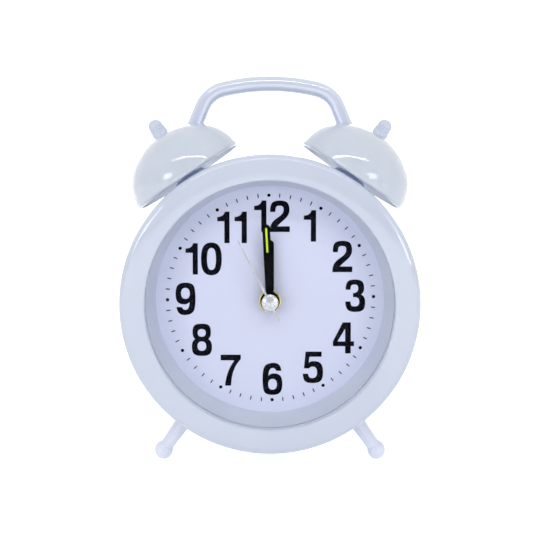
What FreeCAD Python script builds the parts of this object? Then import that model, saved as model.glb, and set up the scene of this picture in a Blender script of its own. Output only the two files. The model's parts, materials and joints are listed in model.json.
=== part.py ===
import FreeCAD, Part
import os
from math import acos, asin, atan2, cos, degrees, radians, sin, sqrt

# A twin-bell quartz alarm clock.
# Millimetres. X is to the right, the face looks along -Y, Z is up.
# The origin is on the table, under the middle of the clock.
# A depth is measured backwards from the front of the bezel.
# A clock angle is measured clockwise from twelve, as seen from the front.
# A height is measured up from the axis of the hands.

V = FreeCAD.Vector

# Whole clock
total_depth = 52.0
table_gap = 8.0
case_depth = 42.0
running_clearance = 0.05
free_clearance = 0.3
same_point = 1e-6

# Bezel: a moulded plastic ring with a lip that holds the lens
bezel_face_width = 10.4
bezel_depth = 11.0
bezel_wall = 1.3
bezel_edge_round = 2.8
bezel_crown = 0.15
lip_radius = 49.6
lip_round = 0.7
lip_depth = 2.6
collar_depth = 7.0
collar_wall = 1.3

# Lens and the conical ring behind it
lens_edge = 1.9
lens_thickness = 1.5
lens_clearance = 0.2
cone_wall = 1.2
cone_flange = 1.0
cone_draw = 2.2
cone_foot = 0.9

# Dial and its carrier
dial_depth = 15.6
dial_edge = 0.2
dial_thickness = 0.8
carrier_clearance = 1.9
carrier_thickness = 1.7
carrier_post_radius = 3.0
carrier_post_inset = 7.2
carrier_post_angles = (0.0, 120.0, 240.0)

# Case drum: a moulded plastic tube that tapers to the back
drum_wall = 1.0
drum_fit = 0.1
drum_front_depth = 3.2
drum_shoulder = 0.8
drum_taper = 2.3

# Back cover
cover_thickness = 2.0
cover_overlap = 0.3
cover_edge_round = 1.0
spigot_length = 4.0
spigot_wall = 1.5
spigot_clearance = 0.25
screw_head_radius = 2.4
screw_head_height = 1.4
screw_shank_radius = 1.3
screw_length = 10.0
screw_slot_width = 0.8
screw_slot_depth = 0.6

# Bells
bell_angle = 34.0
bell_depth = 26.0
bell_gap_over_bezel = 1.2
bell_radius = 25.4
bell_height = 21.5
bell_lip = 1.3
bell_wall = 1.4
bell_shoulder_radius = 19.0

# Bell posts, nuts and finials
post_radius = 7.5
post_flange_above_rim = 0.8
post_chamfer = 1.2
post_shank_radius = 3.5
post_stud_radius = 2.5
finial_stud_radius = 1.5
finial_stud_length = 4.0
nut_flats = 8.0
nut_thickness = 3.2
finial_length = 7.3
finial_radius = 3.4
finial_tip_radius = 3.1
finial_base_radius = 3.8
finial_foot_sink = 0.7
finial_waist_rise = 1.2
finial_low_groove_rise = 2.2
finial_high_groove_rise = 3.5
finial_groove = 0.15
finial_groove_width = 0.3

# Handle
handle_rise = 32.2
handle_rod_radius = 3.2
handle_top_bend = 86.0
handle_corner_bend = 12.5
handle_seat_angle = 31.5
handle_leg_lean = 22.5
handle_spigot_radius = 1.5
handle_nut_flats = 5.0
handle_nut_thickness = 2.2
handle_nut_gap = 0.4

# Feet
foot_angle = 145.1
foot_depth = 18.0
foot_ball_radius = 3.8
foot_flat_cut = 0.2
foot_neck_radius = 2.8
foot_flange_radius = 3.9
foot_flange_slope = 0.3
foot_waist_radius = 3.1
foot_collar = 1.4
foot_stud_radius = 1.5
foot_rivet_radius = 2.2
foot_rivet_height = 0.7
rear_foot_inset = 7.0
rear_foot_radius = 2.8
rear_foot_flange_radius = 3.6
rear_foot_flange_length = 3.0
rear_foot_round = 0.9

# Hands
second_radius = 0.6
minute_tube_radius = 1.3
hour_tube_radius = 2.1
alarm_tube_radius = 2.9
bush_radius = 3.8
boss_front_depth = 6.6
boss_radius = 3.4
boss_thickness = 1.9
second_hand_thickness = 0.3
second_hand_length = 28.3
second_hand_tail = 8.5
second_hand_width = 0.9
second_hand_point = 0.45
second_hand_angle = -27.3
minute_hub_depth = 9.9
minute_hub_radius = 3.96
minute_hub_thickness = 1.2
minute_hand_length = 31.7
minute_hand_angle = -3.0
hour_collet_depth = 11.6
hour_collet_radius = 4.6
hour_collet_thickness = 0.6
hour_hub_radius = 4.4
hour_hub_thickness = 0.8
hour_hand_length = 25.0
hour_hand_angle = 0.0
hand_width = 3.2
hand_thickness = 0.4
strip_width = 0.8
strip_thickness = 0.3
minute_strip_from = 20.3
minute_strip_length = 9.9
hour_strip_from = 14.0
hour_strip_length = 9.0
alarm_hub_depth = 13.6
alarm_hub_radius = 4.2
alarm_hub_thickness = 1.0
alarm_hand_length = 18.0
alarm_hand_width = 2.0
alarm_hand_angle = -0.5
bush_above_dial = 0.7

# Toothed wheels
motion_module = 0.5
train_module = 0.25
tooth_height_out = 0.8
tooth_height_in = 1.15
tooth_tip_width = 0.5
tooth_root_width = 1.5
cannon_teeth = 10
motion_teeth = 30
motion_pinion_teeth = 8
hour_teeth = 32
alarm_teeth = 32
alarm_set_teeth = 36
time_set_teeth = 10
second_teeth = 50
intermediate_pinion_teeth = 10
intermediate_teeth = 48
rotor_teeth = 8
motion_bearing = 235.0
time_set_bearing = 270.0
alarm_set_bearing = 109.7
intermediate_bearing = 20.0
rotor_bearing = 60.0
wheel_thickness = 1.4
wheel_gap = 0.5
train_wheel_thickness = 0.6

# Quartz movement
movement_half_width = 28.0
movement_above = 24.5
movement_below = 17.5
movement_wall = 1.5
movement_depth = 17.8
plate_thickness = 1.7
plate_margin = 2.0
lug_reach = 46.0
lug_half_height = 4.0
lug_thickness = 1.5
lug_screw_at = 43.0
corner_inset = 2.8
corner_radius = 2.4
movement_screw_radius = 0.9
movement_screw_head_radius = 1.9
movement_screw_head_height = 1.1
plate_post_radius = 1.5
plate_posts = ((-24.0, 8.0), (22.0, 14.0), (0.0, -13.5))
motion_post_radius = 1.0
middle_plate_thickness = 0.5
set_pivot_radius = 1.0
set_shaft_radius = 1.5
train_pivot_radius = 0.4
pivot_boss_radius = 1.6
pivot_boss_height = 1.4
pivot_hole_depth = 1.1

# Stepping motor
magnet_radius = 3.0
magnet_thickness = 1.6
stator_thickness = 1.0
stator_gap = 0.4
stator_ring = 2.6
stator_arm_reach = 11.0
stator_arm_width = 4.0
stator_arm_length = 8.5
coil_length = 17.0
coil_radius = 2.0
coil_flange_radius = 2.3
coil_flange = 0.8
core_thickness = 1.2
core_width = 2.0

# Circuit board, crystal and buzzer
board_left = -26.0
board_right = -5.5
board_bottom = -14.0
board_top = 22.0
board_thickness = 1.2
board_post_rise = 14.0
board_post_inset = 1.0
board_hole_radius = 3.2
crystal_radius = 1.0
crystal_length = 6.0
crystal_place = (-22.0, 12.0)
chip_radius = 3.0
chip_height = 0.9
chip_place = (-14.0, 9.0)
buzzer_height = 13.0
buzzer_radius = 10.8
buzzer_thickness = 0.6
buzzer_wall = 1.2
buzzer_setback = 3.4
buzzer_seat = 0.6
buzzer_pin_radius = 0.5
buzzer_pin_places = ((-7.5, 10.0), (-7.5, 16.0))
sound_hole_radius = 1.0
sound_hole_ring = 5.0
sound_holes = 8

# Cell, its pocket and contacts
cell_radius = 7.25
cell_length = 49.2
cell_nub_radius = 2.7
cell_nub_length = 1.3
cell_clearance = 0.45
cell_edge_round = 0.8
pocket_wall = 1.2
pocket_end_gap = 1.75
pocket_below_movement = 3.6
contact_thickness = 0.4
contact_width = 4.0
contact_half_height = 4.5
contact_bulge_radius = 3.0
contact_rise = 4.5
negative_tail = -20.0
positive_tail = -11.0
door_ledge = 1.1
door_clearance = 0.2
door_lift = 0.05
door_ribs = 3
door_rib_pitch = 2.4
door_rib_width = 1.0
door_rib_height = 0.5
door_rib_length = 12.0

# Knobs
knob_gap = 0.5
time_knob_radius = 7.0
alarm_knob_radius = 6.0
knob_grooves = 20
knob_groove_depth = 0.5
knob_groove_steps = ((0.0, 0.0), (0.4, 0.0), (0.6, knob_groove_depth), (0.8, knob_groove_depth))
knob_top_round = 1.2
knob_shaft_sunk = 5.0

# Alarm on and off slide
switch_height = 33.0
switch_travel = 4.0
switch_tongue_width = 3.0
switch_tongue_height = 2.4
switch_pad_width = 8.0
switch_pad_height = 5.0
switch_pad_thickness = 1.6
switch_flange_thickness = 1.0
switch_clearance = 0.1
switch_ribs = 3
switch_rib_pitch = 2.0
switch_rib_width = 0.8
switch_rib_height = 0.6

# Sizes that follow from the ones above
front = -total_depth / 2
bezel_radius = lip_radius + bezel_face_width
axis_height = bezel_radius + table_gap
lens_radius = lip_radius + lens_edge
cone_back_radius = lip_radius - cone_draw
cone_foot_radius = lens_radius + cone_foot
dial_radius = cone_foot_radius + dial_edge
rear_foot_depth = case_depth - rear_foot_inset
drum_front_radius = bezel_radius - bezel_wall - drum_fit
drum_neck_radius = drum_front_radius - drum_shoulder
drum_back_radius = drum_neck_radius - drum_taper
carrier_radius = drum_back_radius + drum_taper - drum_wall - carrier_clearance
carrier_post_ring = carrier_radius - carrier_post_inset
lens_back_depth = lip_depth + lens_thickness
dial_back_depth = dial_depth + dial_thickness
plate_back_depth = dial_back_depth + plate_thickness
carrier_opening = sqrt((movement_half_width + plate_margin) ** 2 + movement_above**2) + free_clearance
cover_back_depth = case_depth + cover_thickness
cover_radius = drum_back_radius - cover_overlap
bell_rim_distance = bezel_radius + bell_gap_over_bezel
bell_top_distance = bell_rim_distance + bell_height
handle_top = axis_height + bell_rim_distance + handle_rise
bell_crown_radius = (
    (bell_radius - bell_shoulder_radius) ** 2 + bell_height**2 - bell_shoulder_radius**2
) / (2 * (bell_height - bell_shoulder_radius))
bell_crown_centre = bell_top_distance - bell_crown_radius
minute_bore = second_radius + running_clearance
hour_bore = minute_tube_radius + running_clearance
alarm_bore = hour_tube_radius + running_clearance
bush_bore = alarm_tube_radius + running_clearance
second_hand_depth = boss_front_depth + boss_thickness
hour_hub_depth = hour_collet_depth + hour_collet_thickness
alarm_wheel_depth = plate_back_depth + wheel_gap
hour_wheel_depth = alarm_wheel_depth + wheel_thickness + wheel_gap
motion_wheel_depth = hour_wheel_depth + wheel_thickness + wheel_gap
middle_plate_depth = motion_wheel_depth + 2 * wheel_thickness
middle_plate_back = middle_plate_depth + middle_plate_thickness
second_wheel_depth = middle_plate_back + wheel_gap
intermediate_depth = second_wheel_depth + 2 * train_wheel_thickness
stator_depth = intermediate_depth + 2 * train_wheel_thickness - 0.5 * stator_gap
shell_back_depth = plate_back_depth + movement_depth - plate_thickness
shell_floor_depth = shell_back_depth - movement_wall
pivot_end_depth = shell_floor_depth - pivot_boss_height + pivot_hole_depth
board_depth = intermediate_depth
board_back_depth = board_depth + board_thickness
cell_height = -movement_below - pocket_below_movement - pocket_wall - cell_clearance - cell_radius
cell_depth = case_depth - cell_radius - cell_clearance - cell_clearance
pocket_half_height = cell_radius + cell_clearance
pocket_half_length = cell_length / 2 + pocket_end_gap
pocket_floor_depth = cell_depth - cell_radius - cell_clearance
buzzer_depth = case_depth - buzzer_setback
knob_front_depth = cover_back_depth + knob_gap
shaft_end_depth = knob_front_depth + knob_shaft_sunk


def offset_place(start, distance, bearing):
    """The place at a distance from a start, in the direction of a clock angle."""
    angle = radians(bearing)
    return start[0] + distance * sin(angle), start[1] + distance * cos(angle)


def centre_distance(teeth_a, teeth_b, module):
    return (teeth_a + teeth_b) * module / 2


hand_place = (0.0, 0.0)
motion_place = offset_place(
    hand_place, centre_distance(cannon_teeth, motion_teeth, motion_module), motion_bearing
)
time_set_place = offset_place(
    motion_place, centre_distance(motion_teeth, time_set_teeth, motion_module), time_set_bearing
)
alarm_set_place = offset_place(
    hand_place, centre_distance(alarm_teeth, alarm_set_teeth, motion_module), alarm_set_bearing
)
intermediate_place = offset_place(
    hand_place,
    centre_distance(second_teeth, intermediate_pinion_teeth, train_module),
    intermediate_bearing,
)
rotor_place = offset_place(
    intermediate_place, centre_distance(intermediate_teeth, rotor_teeth, train_module), rotor_bearing
)
corner_places = (
    (-movement_half_width + corner_inset, -movement_below + corner_inset),
    (movement_half_width - corner_inset, -movement_below + corner_inset),
    (-movement_half_width + corner_inset, movement_above - corner_inset),
    (movement_half_width - corner_inset, movement_above - corner_inset),
)


# Shapes

def outline(start, *steps):
    """A closed face in the XY plane; a step is a point, or a pair of points for an arc."""
    edges = []
    here = V(start[0], start[1], 0)
    for step in steps + (start,):
        if isinstance(step[0], tuple):
            middle = V(step[0][0], step[0][1], 0)
            there = V(step[1][0], step[1][1], 0)
            edges.append(Part.Arc(here, middle, there).toShape())
        else:
            there = V(step[0], step[1], 0)
            if (there - here).Length > same_point:
                edges.append(Part.LineSegment(here, there).toShape())
        here = there
    return Part.Face(Part.Wire(edges))


def on_arc(centre, radius, angle):
    """A point of a circle; the angle runs from the first axis to the second."""
    return centre[0] + radius * cos(radians(angle)), centre[1] + radius * sin(radians(angle))


def round_end(radius, at, top):
    """An arc step from a shoulder to a round end that meets the axis squarely."""
    rise = top - at
    ball = (radius**2 + rise**2) / (2 * rise)
    half = acos((ball - rise) / ball) / 2
    return (abs(ball) * sin(half), top - ball + ball * cos(half)), (0, top)


def turned(start, *steps, place=hand_place):
    """A solid turned about an axis along Y, from radius and depth."""
    shape = outline(start, *steps).revolve(V(0, 0, 0), V(0, 1, 0), 360)
    shape.translate(V(place[0], front, axis_height + place[1]))
    return shape


def rod(radius, from_depth, to_depth, place=hand_place):
    start = V(place[0], front + from_depth, axis_height + place[1])
    return Part.makeCylinder(radius, to_depth - from_depth, start, V(0, 1, 0))


def tube(inner, outer, from_depth, to_depth, place=hand_place):
    return rod(outer, from_depth, to_depth, place).cut(
        rod(inner, from_depth - 1, to_depth + 1, place)
    )


def block(left, right, bottom, top, from_depth, to_depth):
    corner = V(left, front + from_depth, axis_height + bottom)
    return Part.makeBox(right - left, to_depth - from_depth, top - bottom, corner)


def spoke(clock_angle, depth, start, *steps):
    """A solid turned about a line that runs out from the hand axis, from radius and distance."""
    shape = outline(start, *steps).revolve(V(0, 0, 0), V(0, 1, 0), 360)
    shape.rotate(V(0, 0, 0), V(1, 0, 0), 90)
    shape.rotate(V(0, 0, 0), V(0, 1, 0), clock_angle)
    shape.translate(V(0, front + depth, axis_height))
    return shape


def spoke_rod(clock_angle, depth, radius, from_distance, to_distance):
    angle = radians(clock_angle)
    direction = V(sin(angle), 0, cos(angle))
    start = V(0, front + depth, axis_height) + direction * from_distance
    return Part.makeCylinder(radius, to_distance - from_distance, start, direction)


def hexagon(flats, thickness, start, direction, turn=0.0):
    radius = flats / sqrt(3)
    points = [V(*on_arc((0, 0), radius, 60 * k + turn), 0) for k in range(6)]
    shape = Part.Face(Part.makePolygon(points + points[:1])).extrude(V(0, 0, thickness))
    shape.Placement = FreeCAD.Placement(start, FreeCAD.Rotation(V(0, 0, 1), direction))
    return shape


def extruded(points, from_depth, to_depth):
    """A solid from points given as X and height."""
    corners = [V(x, front + from_depth, axis_height + z) for x, z in points]
    face = Part.Face(Part.makePolygon(corners + corners[:1]))
    return face.extrude(V(0, to_depth - from_depth, 0))


def turn_in_clock(shape, clock_angle, place=hand_place):
    shape.rotate(V(place[0], 0, axis_height + place[1]), V(0, 1, 0), clock_angle)
    return shape


def fused(first, *others):
    shape = first.fuse(list(others)).removeSplitter()
    return shape.Solids[0] if len(shape.Solids) == 1 else shape


def without(shape, *cutters):
    shape = shape.cut(list(cutters))
    return shape.Solids[0] if len(shape.Solids) == 1 else shape


# Toothed wheels

def wheel_outline(teeth, module, place, phase):
    """Straight-sided teeth; phase is the clock angle of one tooth."""
    pitch = teeth * module / 2
    tip = pitch + tooth_height_out * module
    root = pitch - tooth_height_in * module
    tip_half = degrees(tooth_tip_width * module / 2 / tip)
    root_half = degrees(tooth_root_width * module / 2 / root)
    points = []
    for tooth in range(teeth):
        middle = phase + 360.0 * tooth / teeth
        for radius, side in ((root, -root_half), (tip, -tip_half), (tip, tip_half), (root, root_half)):
            points.append(offset_place(place, radius, middle + side))
    return points


def wheel(teeth, module, place, phase, from_depth, thickness):
    return extruded(wheel_outline(teeth, module, place, phase), from_depth, from_depth + thickness)


def meshed_phase(teeth_a, phase_a, bearing, teeth_b):
    """The phase that puts a gap of wheel B where a tooth of wheel A arrives."""
    return bearing + 180 + 180.0 / teeth_b - (phase_a - bearing) * teeth_a / teeth_b


cannon_phase = motion_bearing
motion_phase = meshed_phase(cannon_teeth, cannon_phase, motion_bearing, motion_teeth)
time_set_phase = meshed_phase(motion_teeth, motion_phase, time_set_bearing, time_set_teeth)
motion_pinion_phase = motion_bearing + 180
hour_phase = meshed_phase(
    motion_pinion_teeth, motion_pinion_phase, motion_bearing + 180, hour_teeth
)
alarm_phase = alarm_set_bearing
alarm_set_phase = meshed_phase(alarm_teeth, alarm_phase, alarm_set_bearing, alarm_set_teeth)
second_phase = intermediate_bearing
intermediate_pinion_phase = meshed_phase(
    second_teeth, second_phase, intermediate_bearing, intermediate_pinion_teeth
)
intermediate_phase = rotor_bearing
rotor_phase = meshed_phase(intermediate_teeth, intermediate_phase, rotor_bearing, rotor_teeth)


# Case

def bezel():
    face_edge = bezel_radius - bezel_edge_round
    lip_face = lip_radius + lip_round
    edge_centre = (face_edge, bezel_crown + bezel_edge_round)
    lip_centre = (lip_face, bezel_crown + lip_round)
    inner_round = bezel_edge_round - bezel_wall
    collar = lens_radius + lens_clearance
    back_of_face = bezel_crown + bezel_wall
    return turned(
        (bezel_radius, bezel_depth),
        (bezel_radius, edge_centre[1]),
        (on_arc(edge_centre, bezel_edge_round, -45), (face_edge, bezel_crown)),
        (((face_edge + lip_face) / 2, 0), (lip_face, bezel_crown)),
        (on_arc(lip_centre, lip_round, 225), (lip_radius, lip_centre[1])),
        (lip_radius, lip_depth),
        (collar, lip_depth),
        (collar, collar_depth),
        (collar + collar_wall, collar_depth),
        (collar + collar_wall, back_of_face),
        (face_edge, back_of_face),
        (on_arc(edge_centre, inner_round, -45), (bezel_radius - bezel_wall, edge_centre[1])),
        (bezel_radius - bezel_wall, bezel_depth),
    )


def lens():
    return rod(lens_radius, lip_depth, lens_back_depth)


def cone_ring():
    flange_back = lens_back_depth + cone_flange
    foot_front = dial_depth - cone_flange
    return turned(
        (lip_radius, lens_back_depth),
        (cone_back_radius, dial_depth),
        (cone_foot_radius, dial_depth),
        (cone_foot_radius, foot_front),
        (cone_back_radius + cone_wall, foot_front),
        (lip_radius + cone_wall, flange_back),
        (lens_radius, flange_back),
        (lens_radius, lens_back_depth),
    )


def dial():
    return tube(bush_radius + running_clearance, dial_radius, dial_depth, dial_back_depth)


def dial_carrier():
    ring = tube(
        carrier_opening, carrier_radius, dial_back_depth, dial_back_depth + carrier_thickness
    )
    places = [offset_place(hand_place, carrier_post_ring, angle) for angle in carrier_post_angles]
    posts = [rod(carrier_post_radius, dial_back_depth, case_depth, place) for place in places]
    screw_from = cover_back_depth - screw_length
    holes = [rod(screw_shank_radius, screw_from, case_depth + 1, place) for place in places]
    lug_from = dial_back_depth + carrier_thickness - lug_thickness
    holes += [
        rod(movement_screw_radius, lug_from, plate_back_depth + 1, (side * lug_screw_at, 0))
        for side in (-1, 1)
    ]
    return without(fused(ring, *posts), *holes)


def drum_outside():
    """The outside of the drum as a full body, which the posts and feet are cut to."""
    shoulder_end = bezel_depth + drum_shoulder
    return (
        (0, drum_front_depth),
        (drum_front_radius, drum_front_depth),
        (drum_front_radius, bezel_depth),
        (drum_neck_radius, shoulder_end),
        (drum_back_radius, case_depth),
        (0, case_depth),
    )


def case_drum():
    inside = (
        (0, drum_front_depth - 1),
        (drum_front_radius - drum_wall, drum_front_depth - 1),
        (drum_front_radius - drum_wall, bezel_depth),
        (drum_neck_radius - drum_wall, bezel_depth + drum_shoulder),
        (drum_back_radius - drum_wall, case_depth),
        (drum_back_radius - drum_wall, case_depth + 1),
        (0, case_depth + 1),
    )
    reach = 2 * bezel_radius
    start = bezel_radius / 2
    holes = [
        spoke_rod(side * bell_angle, bell_depth, post_stud_radius, start, reach)
        for side in (-1, 1)
    ]
    holes += [
        spoke_rod(side * foot_angle, foot_depth, foot_stud_radius, start, reach)
        for side in (-1, 1)
    ]
    holes.append(spoke_rod(180, rear_foot_depth, foot_stud_radius, start, reach))
    return without(turned(*drum_outside()), turned(*inside), *holes)


def drum_radius_at(depth):
    """The outside radius of the tapered part of the drum."""
    shoulder_end = bezel_depth + drum_shoulder
    share = (depth - shoulder_end) / (case_depth - shoulder_end)
    return drum_neck_radius + share * (drum_back_radius - drum_neck_radius)


# Back cover and what it holds

def back_cover():
    spigot_radius = drum_back_radius - drum_wall - spigot_clearance
    edge = cover_back_depth - cover_edge_round
    plate = turned(
        (0, case_depth),
        (cover_radius, case_depth),
        (cover_radius, edge),
        (
            on_arc((cover_radius - cover_edge_round, edge), cover_edge_round, 45),
            (cover_radius - cover_edge_round, cover_back_depth),
        ),
        (0, cover_back_depth),
    )
    spigot = tube(
        spigot_radius - spigot_wall, spigot_radius, case_depth - spigot_length, case_depth
    )
    pocket = block(
        -pocket_half_length - pocket_wall,
        pocket_half_length + pocket_wall,
        cell_height - pocket_half_height - pocket_wall,
        cell_height + pocket_half_height + pocket_wall,
        pocket_floor_depth - pocket_wall,
        case_depth,
    )
    buzzer_ring = rod(
        buzzer_radius + buzzer_wall, buzzer_depth, case_depth, (0, buzzer_height)
    )
    body = fused(plate, spigot, pocket, buzzer_ring)
    cutters = [
        block(
            -pocket_half_length,
            pocket_half_length,
            cell_height - pocket_half_height,
            cell_height + pocket_half_height,
            pocket_floor_depth,
            cover_back_depth,
        ),
        block(
            -door_half_length() - door_clearance,
            door_half_length() + door_clearance,
            cell_height - door_half_height() - door_clearance,
            cell_height + door_half_height() + door_clearance,
            case_depth,
            cover_back_depth + 1,
        ),
        rod(
            buzzer_radius,
            buzzer_depth,
            buzzer_depth + buzzer_thickness,
            (0, buzzer_height),
        ),
        rod(
            buzzer_radius - buzzer_seat,
            buzzer_depth,
            case_depth,
            (0, buzzer_height),
        ),
        rod(set_shaft_radius + free_clearance, case_depth - 1, cover_back_depth + 1, time_set_place),
        rod(set_shaft_radius + free_clearance, case_depth - 1, cover_back_depth + 1, alarm_set_place),
        switch_slot(),
        contact_slot(-1),
        contact_slot(1),
    ]
    for angle in carrier_post_angles:
        place = offset_place(hand_place, carrier_post_ring, angle)
        cutters.append(rod(screw_shank_radius, case_depth - 1, cover_back_depth, place))
        head_from = cover_back_depth - screw_head_height
        cutters.append(
            rod(screw_head_radius + running_clearance, head_from, cover_back_depth + 1, place)
        )
        cutters.append(
            rod(carrier_post_radius + free_clearance, case_depth - spigot_length, case_depth, place)
        )
    for k in range(sound_holes):
        place = offset_place((0, buzzer_height), sound_hole_ring, 360.0 * k / sound_holes)
        cutters.append(rod(sound_hole_radius, case_depth - 1, cover_back_depth + 1, place))
    cutters.append(rod(sound_hole_radius, case_depth - 1, cover_back_depth + 1, (0, buzzer_height)))
    return without(body, *cutters)


def door_half_length():
    return pocket_half_length - door_clearance + door_ledge


def door_half_height():
    return pocket_half_height - door_clearance + door_ledge


def battery_door():
    half_length = door_half_length()
    half_height = door_half_height()
    plate = block(
        -half_length,
        half_length,
        cell_height - half_height,
        cell_height + half_height,
        case_depth + door_lift,
        cover_back_depth,
    )
    ribs = []
    for k in range(door_ribs):
        height = cell_height + half_height - (k + 1) * door_rib_pitch
        ribs.append(
            block(
                -door_rib_length / 2,
                door_rib_length / 2,
                height - door_rib_width / 2,
                height + door_rib_width / 2,
                cover_back_depth,
                cover_back_depth + door_rib_height,
            )
        )
    return fused(plate, *ribs)


def switch_slot():
    half_length = (switch_tongue_width + switch_travel) / 2 + switch_clearance
    half_height = switch_tongue_height / 2 + switch_clearance
    return block(
        -half_length,
        half_length,
        switch_height - half_height,
        switch_height + half_height,
        case_depth - 1,
        cover_back_depth + 1,
    )


def alarm_switch():
    middle = -switch_travel / 2
    flange_back = case_depth - switch_clearance
    pad_front = cover_back_depth + switch_clearance
    pad_back = pad_front + switch_pad_thickness
    tongue = block(
        middle - switch_tongue_width / 2,
        middle + switch_tongue_width / 2,
        switch_height - switch_tongue_height / 2,
        switch_height + switch_tongue_height / 2,
        flange_back - switch_flange_thickness,
        pad_back,
    )
    plates = [
        block(
            middle - switch_pad_width / 2,
            middle + switch_pad_width / 2,
            switch_height - switch_pad_height / 2,
            switch_height + switch_pad_height / 2,
            from_depth,
            to_depth,
        )
        for from_depth, to_depth in (
            (flange_back - switch_flange_thickness, flange_back),
            (pad_front, pad_back),
        )
    ]
    ribs = [
        block(
            middle + (k - (switch_ribs - 1) / 2) * switch_rib_pitch - switch_rib_width / 2,
            middle + (k - (switch_ribs - 1) / 2) * switch_rib_pitch + switch_rib_width / 2,
            switch_height - switch_pad_height / 2,
            switch_height + switch_pad_height / 2,
            pad_back,
            pad_back + switch_rib_height,
        )
        for k in range(switch_ribs)
    ]
    return fused(tongue, *plates, *ribs)


def slotted_screw(shank, head, from_depth, head_front, head_back, place):
    body = fused(rod(shank, from_depth, head_front, place), rod(head, head_front, head_back, place))
    slot = block(
        place[0] - head,
        place[0] + head,
        place[1] - screw_slot_width / 2,
        place[1] + screw_slot_width / 2,
        head_back - screw_slot_depth,
        head_back + 1,
    )
    return without(body, slot)


def case_screws():
    head_front = cover_back_depth - screw_head_height
    return Part.makeCompound(
        [
            slotted_screw(
                screw_shank_radius,
                screw_head_radius,
                cover_back_depth - screw_length,
                head_front,
                cover_back_depth,
                offset_place(hand_place, carrier_post_ring, angle),
            )
            for angle in carrier_post_angles
        ]
    )


# Bells, posts, finials and handle

def bell_meridian(inset):
    """The outside of a bell, or its inside at an inset: a shoulder arc and a crown arc."""
    shoulder = (bell_radius - bell_shoulder_radius, bell_rim_distance)
    crown = (0, bell_crown_centre)
    shoulder_arc = bell_shoulder_radius - inset
    crown_arc = bell_crown_radius - inset
    join_angle = degrees(acos(shoulder[0] / (bell_crown_radius - bell_shoulder_radius)))
    return (
        (on_arc(shoulder, shoulder_arc, join_angle / 2), on_arc(shoulder, shoulder_arc, join_angle)),
        (on_arc(crown, crown_arc, (join_angle + 90) / 2), (0, crown[1] + crown_arc)),
    )


def bell_lip_profile():
    """From the bottom of the lip round to the widest line of the bell, where the dome starts."""
    shoulder = (bell_radius - bell_shoulder_radius, bell_rim_distance)
    start = on_arc(shoulder, bell_shoulder_radius, degrees(asin(bell_lip / bell_shoulder_radius)))
    centre = (start[0] - bell_lip, start[1])
    return (centre[0], bell_rim_distance), (on_arc(centre, bell_lip, -45), start)


def bell_outside(side):
    return spoke(
        side * bell_angle,
        bell_depth,
        (0, bell_rim_distance),
        *bell_lip_profile(),
        *bell_meridian(0),
    )


def bell_hollow(side):
    radius = bell_radius - bell_wall
    return spoke(
        side * bell_angle,
        bell_depth,
        (0, bell_rim_distance - 1),
        (radius, bell_rim_distance - 1),
        (radius, bell_rim_distance),
        *bell_meridian(bell_wall),
    )


def bell(side):
    stud = spoke_rod(
        side * bell_angle, bell_depth, finial_stud_radius, bell_rim_distance, bell_top_distance + 1
    )
    joint = handle_joint(side)
    spigot = Part.makeCylinder(
        handle_spigot_radius, bell_height, joint - V(0, 0, bell_height / 2), V(0, 0, 1)
    )
    return without(bell_outside(side), bell_hollow(side), stud, spigot)


def bell_post(side):
    flange_top = bell_rim_distance + post_flange_above_rim
    shank_top = bell_crown_centre + sqrt((bell_crown_radius - bell_wall) ** 2 - post_shank_radius**2)
    body = spoke(
        side * bell_angle,
        bell_depth,
        (0, drum_radius_at(bell_depth) - 2 * post_radius),
        (post_radius, drum_radius_at(bell_depth) - 2 * post_radius),
        (post_radius, flange_top - post_chamfer),
        (post_radius - post_chamfer, flange_top),
        (post_shank_radius, flange_top),
        (post_shank_radius, shank_top),
        (0, shank_top),
    )
    body = without(body, turned(*drum_outside()))
    stud = spoke_rod(
        side * bell_angle, bell_depth, post_stud_radius, nut_bottom(), bell_rim_distance
    )
    top_stud = spoke_rod(
        side * bell_angle,
        bell_depth,
        finial_stud_radius,
        shank_top - 1,
        bell_top_distance + finial_stud_length,
    )
    return fused(body, stud, top_stud)


def nut_top():
    """The drum curves away from a flat nut, so the nut stops at the chord of its corners."""
    inside = drum_radius_at(bell_depth + nut_flats / sqrt(3)) - drum_wall
    return sqrt(inside**2 - (nut_flats / sqrt(3)) ** 2)


def nut_bottom():
    return nut_top() - nut_thickness


def bell_nuts():
    nuts = []
    for side in (-1, 1):
        angle = radians(side * bell_angle)
        direction = V(sin(angle), 0, cos(angle))
        start = V(0, front + bell_depth, axis_height) + direction * nut_bottom()
        nut = hexagon(nut_flats, nut_thickness, start, direction)
        hole = spoke_rod(
            side * bell_angle, bell_depth, post_stud_radius, nut_bottom() - 1, nut_top() + 1
        )
        nuts.append(without(nut, hole))
    return Part.makeCompound(nuts)


def finial(side):
    """A bullet with two shallow grooves; its foot spreads and follows the dome under it."""
    base = bell_top_distance
    foot = base - finial_foot_sink
    waist = base + finial_waist_rise
    groove_a = base + finial_low_groove_rise
    groove_b = base + finial_high_groove_rise
    middle_radius = (finial_radius + finial_tip_radius) / 2
    body = spoke(
        side * bell_angle,
        bell_depth,
        (0, foot),
        (finial_base_radius, foot),
        ((finial_radius + finial_groove, base), (finial_radius, waist)),
        (finial_radius, groove_a - finial_groove_width),
        (middle_radius - finial_groove, groove_a),
        (middle_radius, groove_a + finial_groove_width),
        (middle_radius, groove_b - finial_groove_width),
        (finial_tip_radius - finial_groove, groove_b),
        (finial_tip_radius, groove_b + finial_groove_width),
        round_end(finial_tip_radius, groove_b + finial_groove_width, base + finial_length),
    )
    stud = spoke_rod(
        side * bell_angle, bell_depth, finial_stud_radius, foot - 1, base + finial_stud_length
    )
    return without(body, bell_outside(side), stud)


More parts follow.
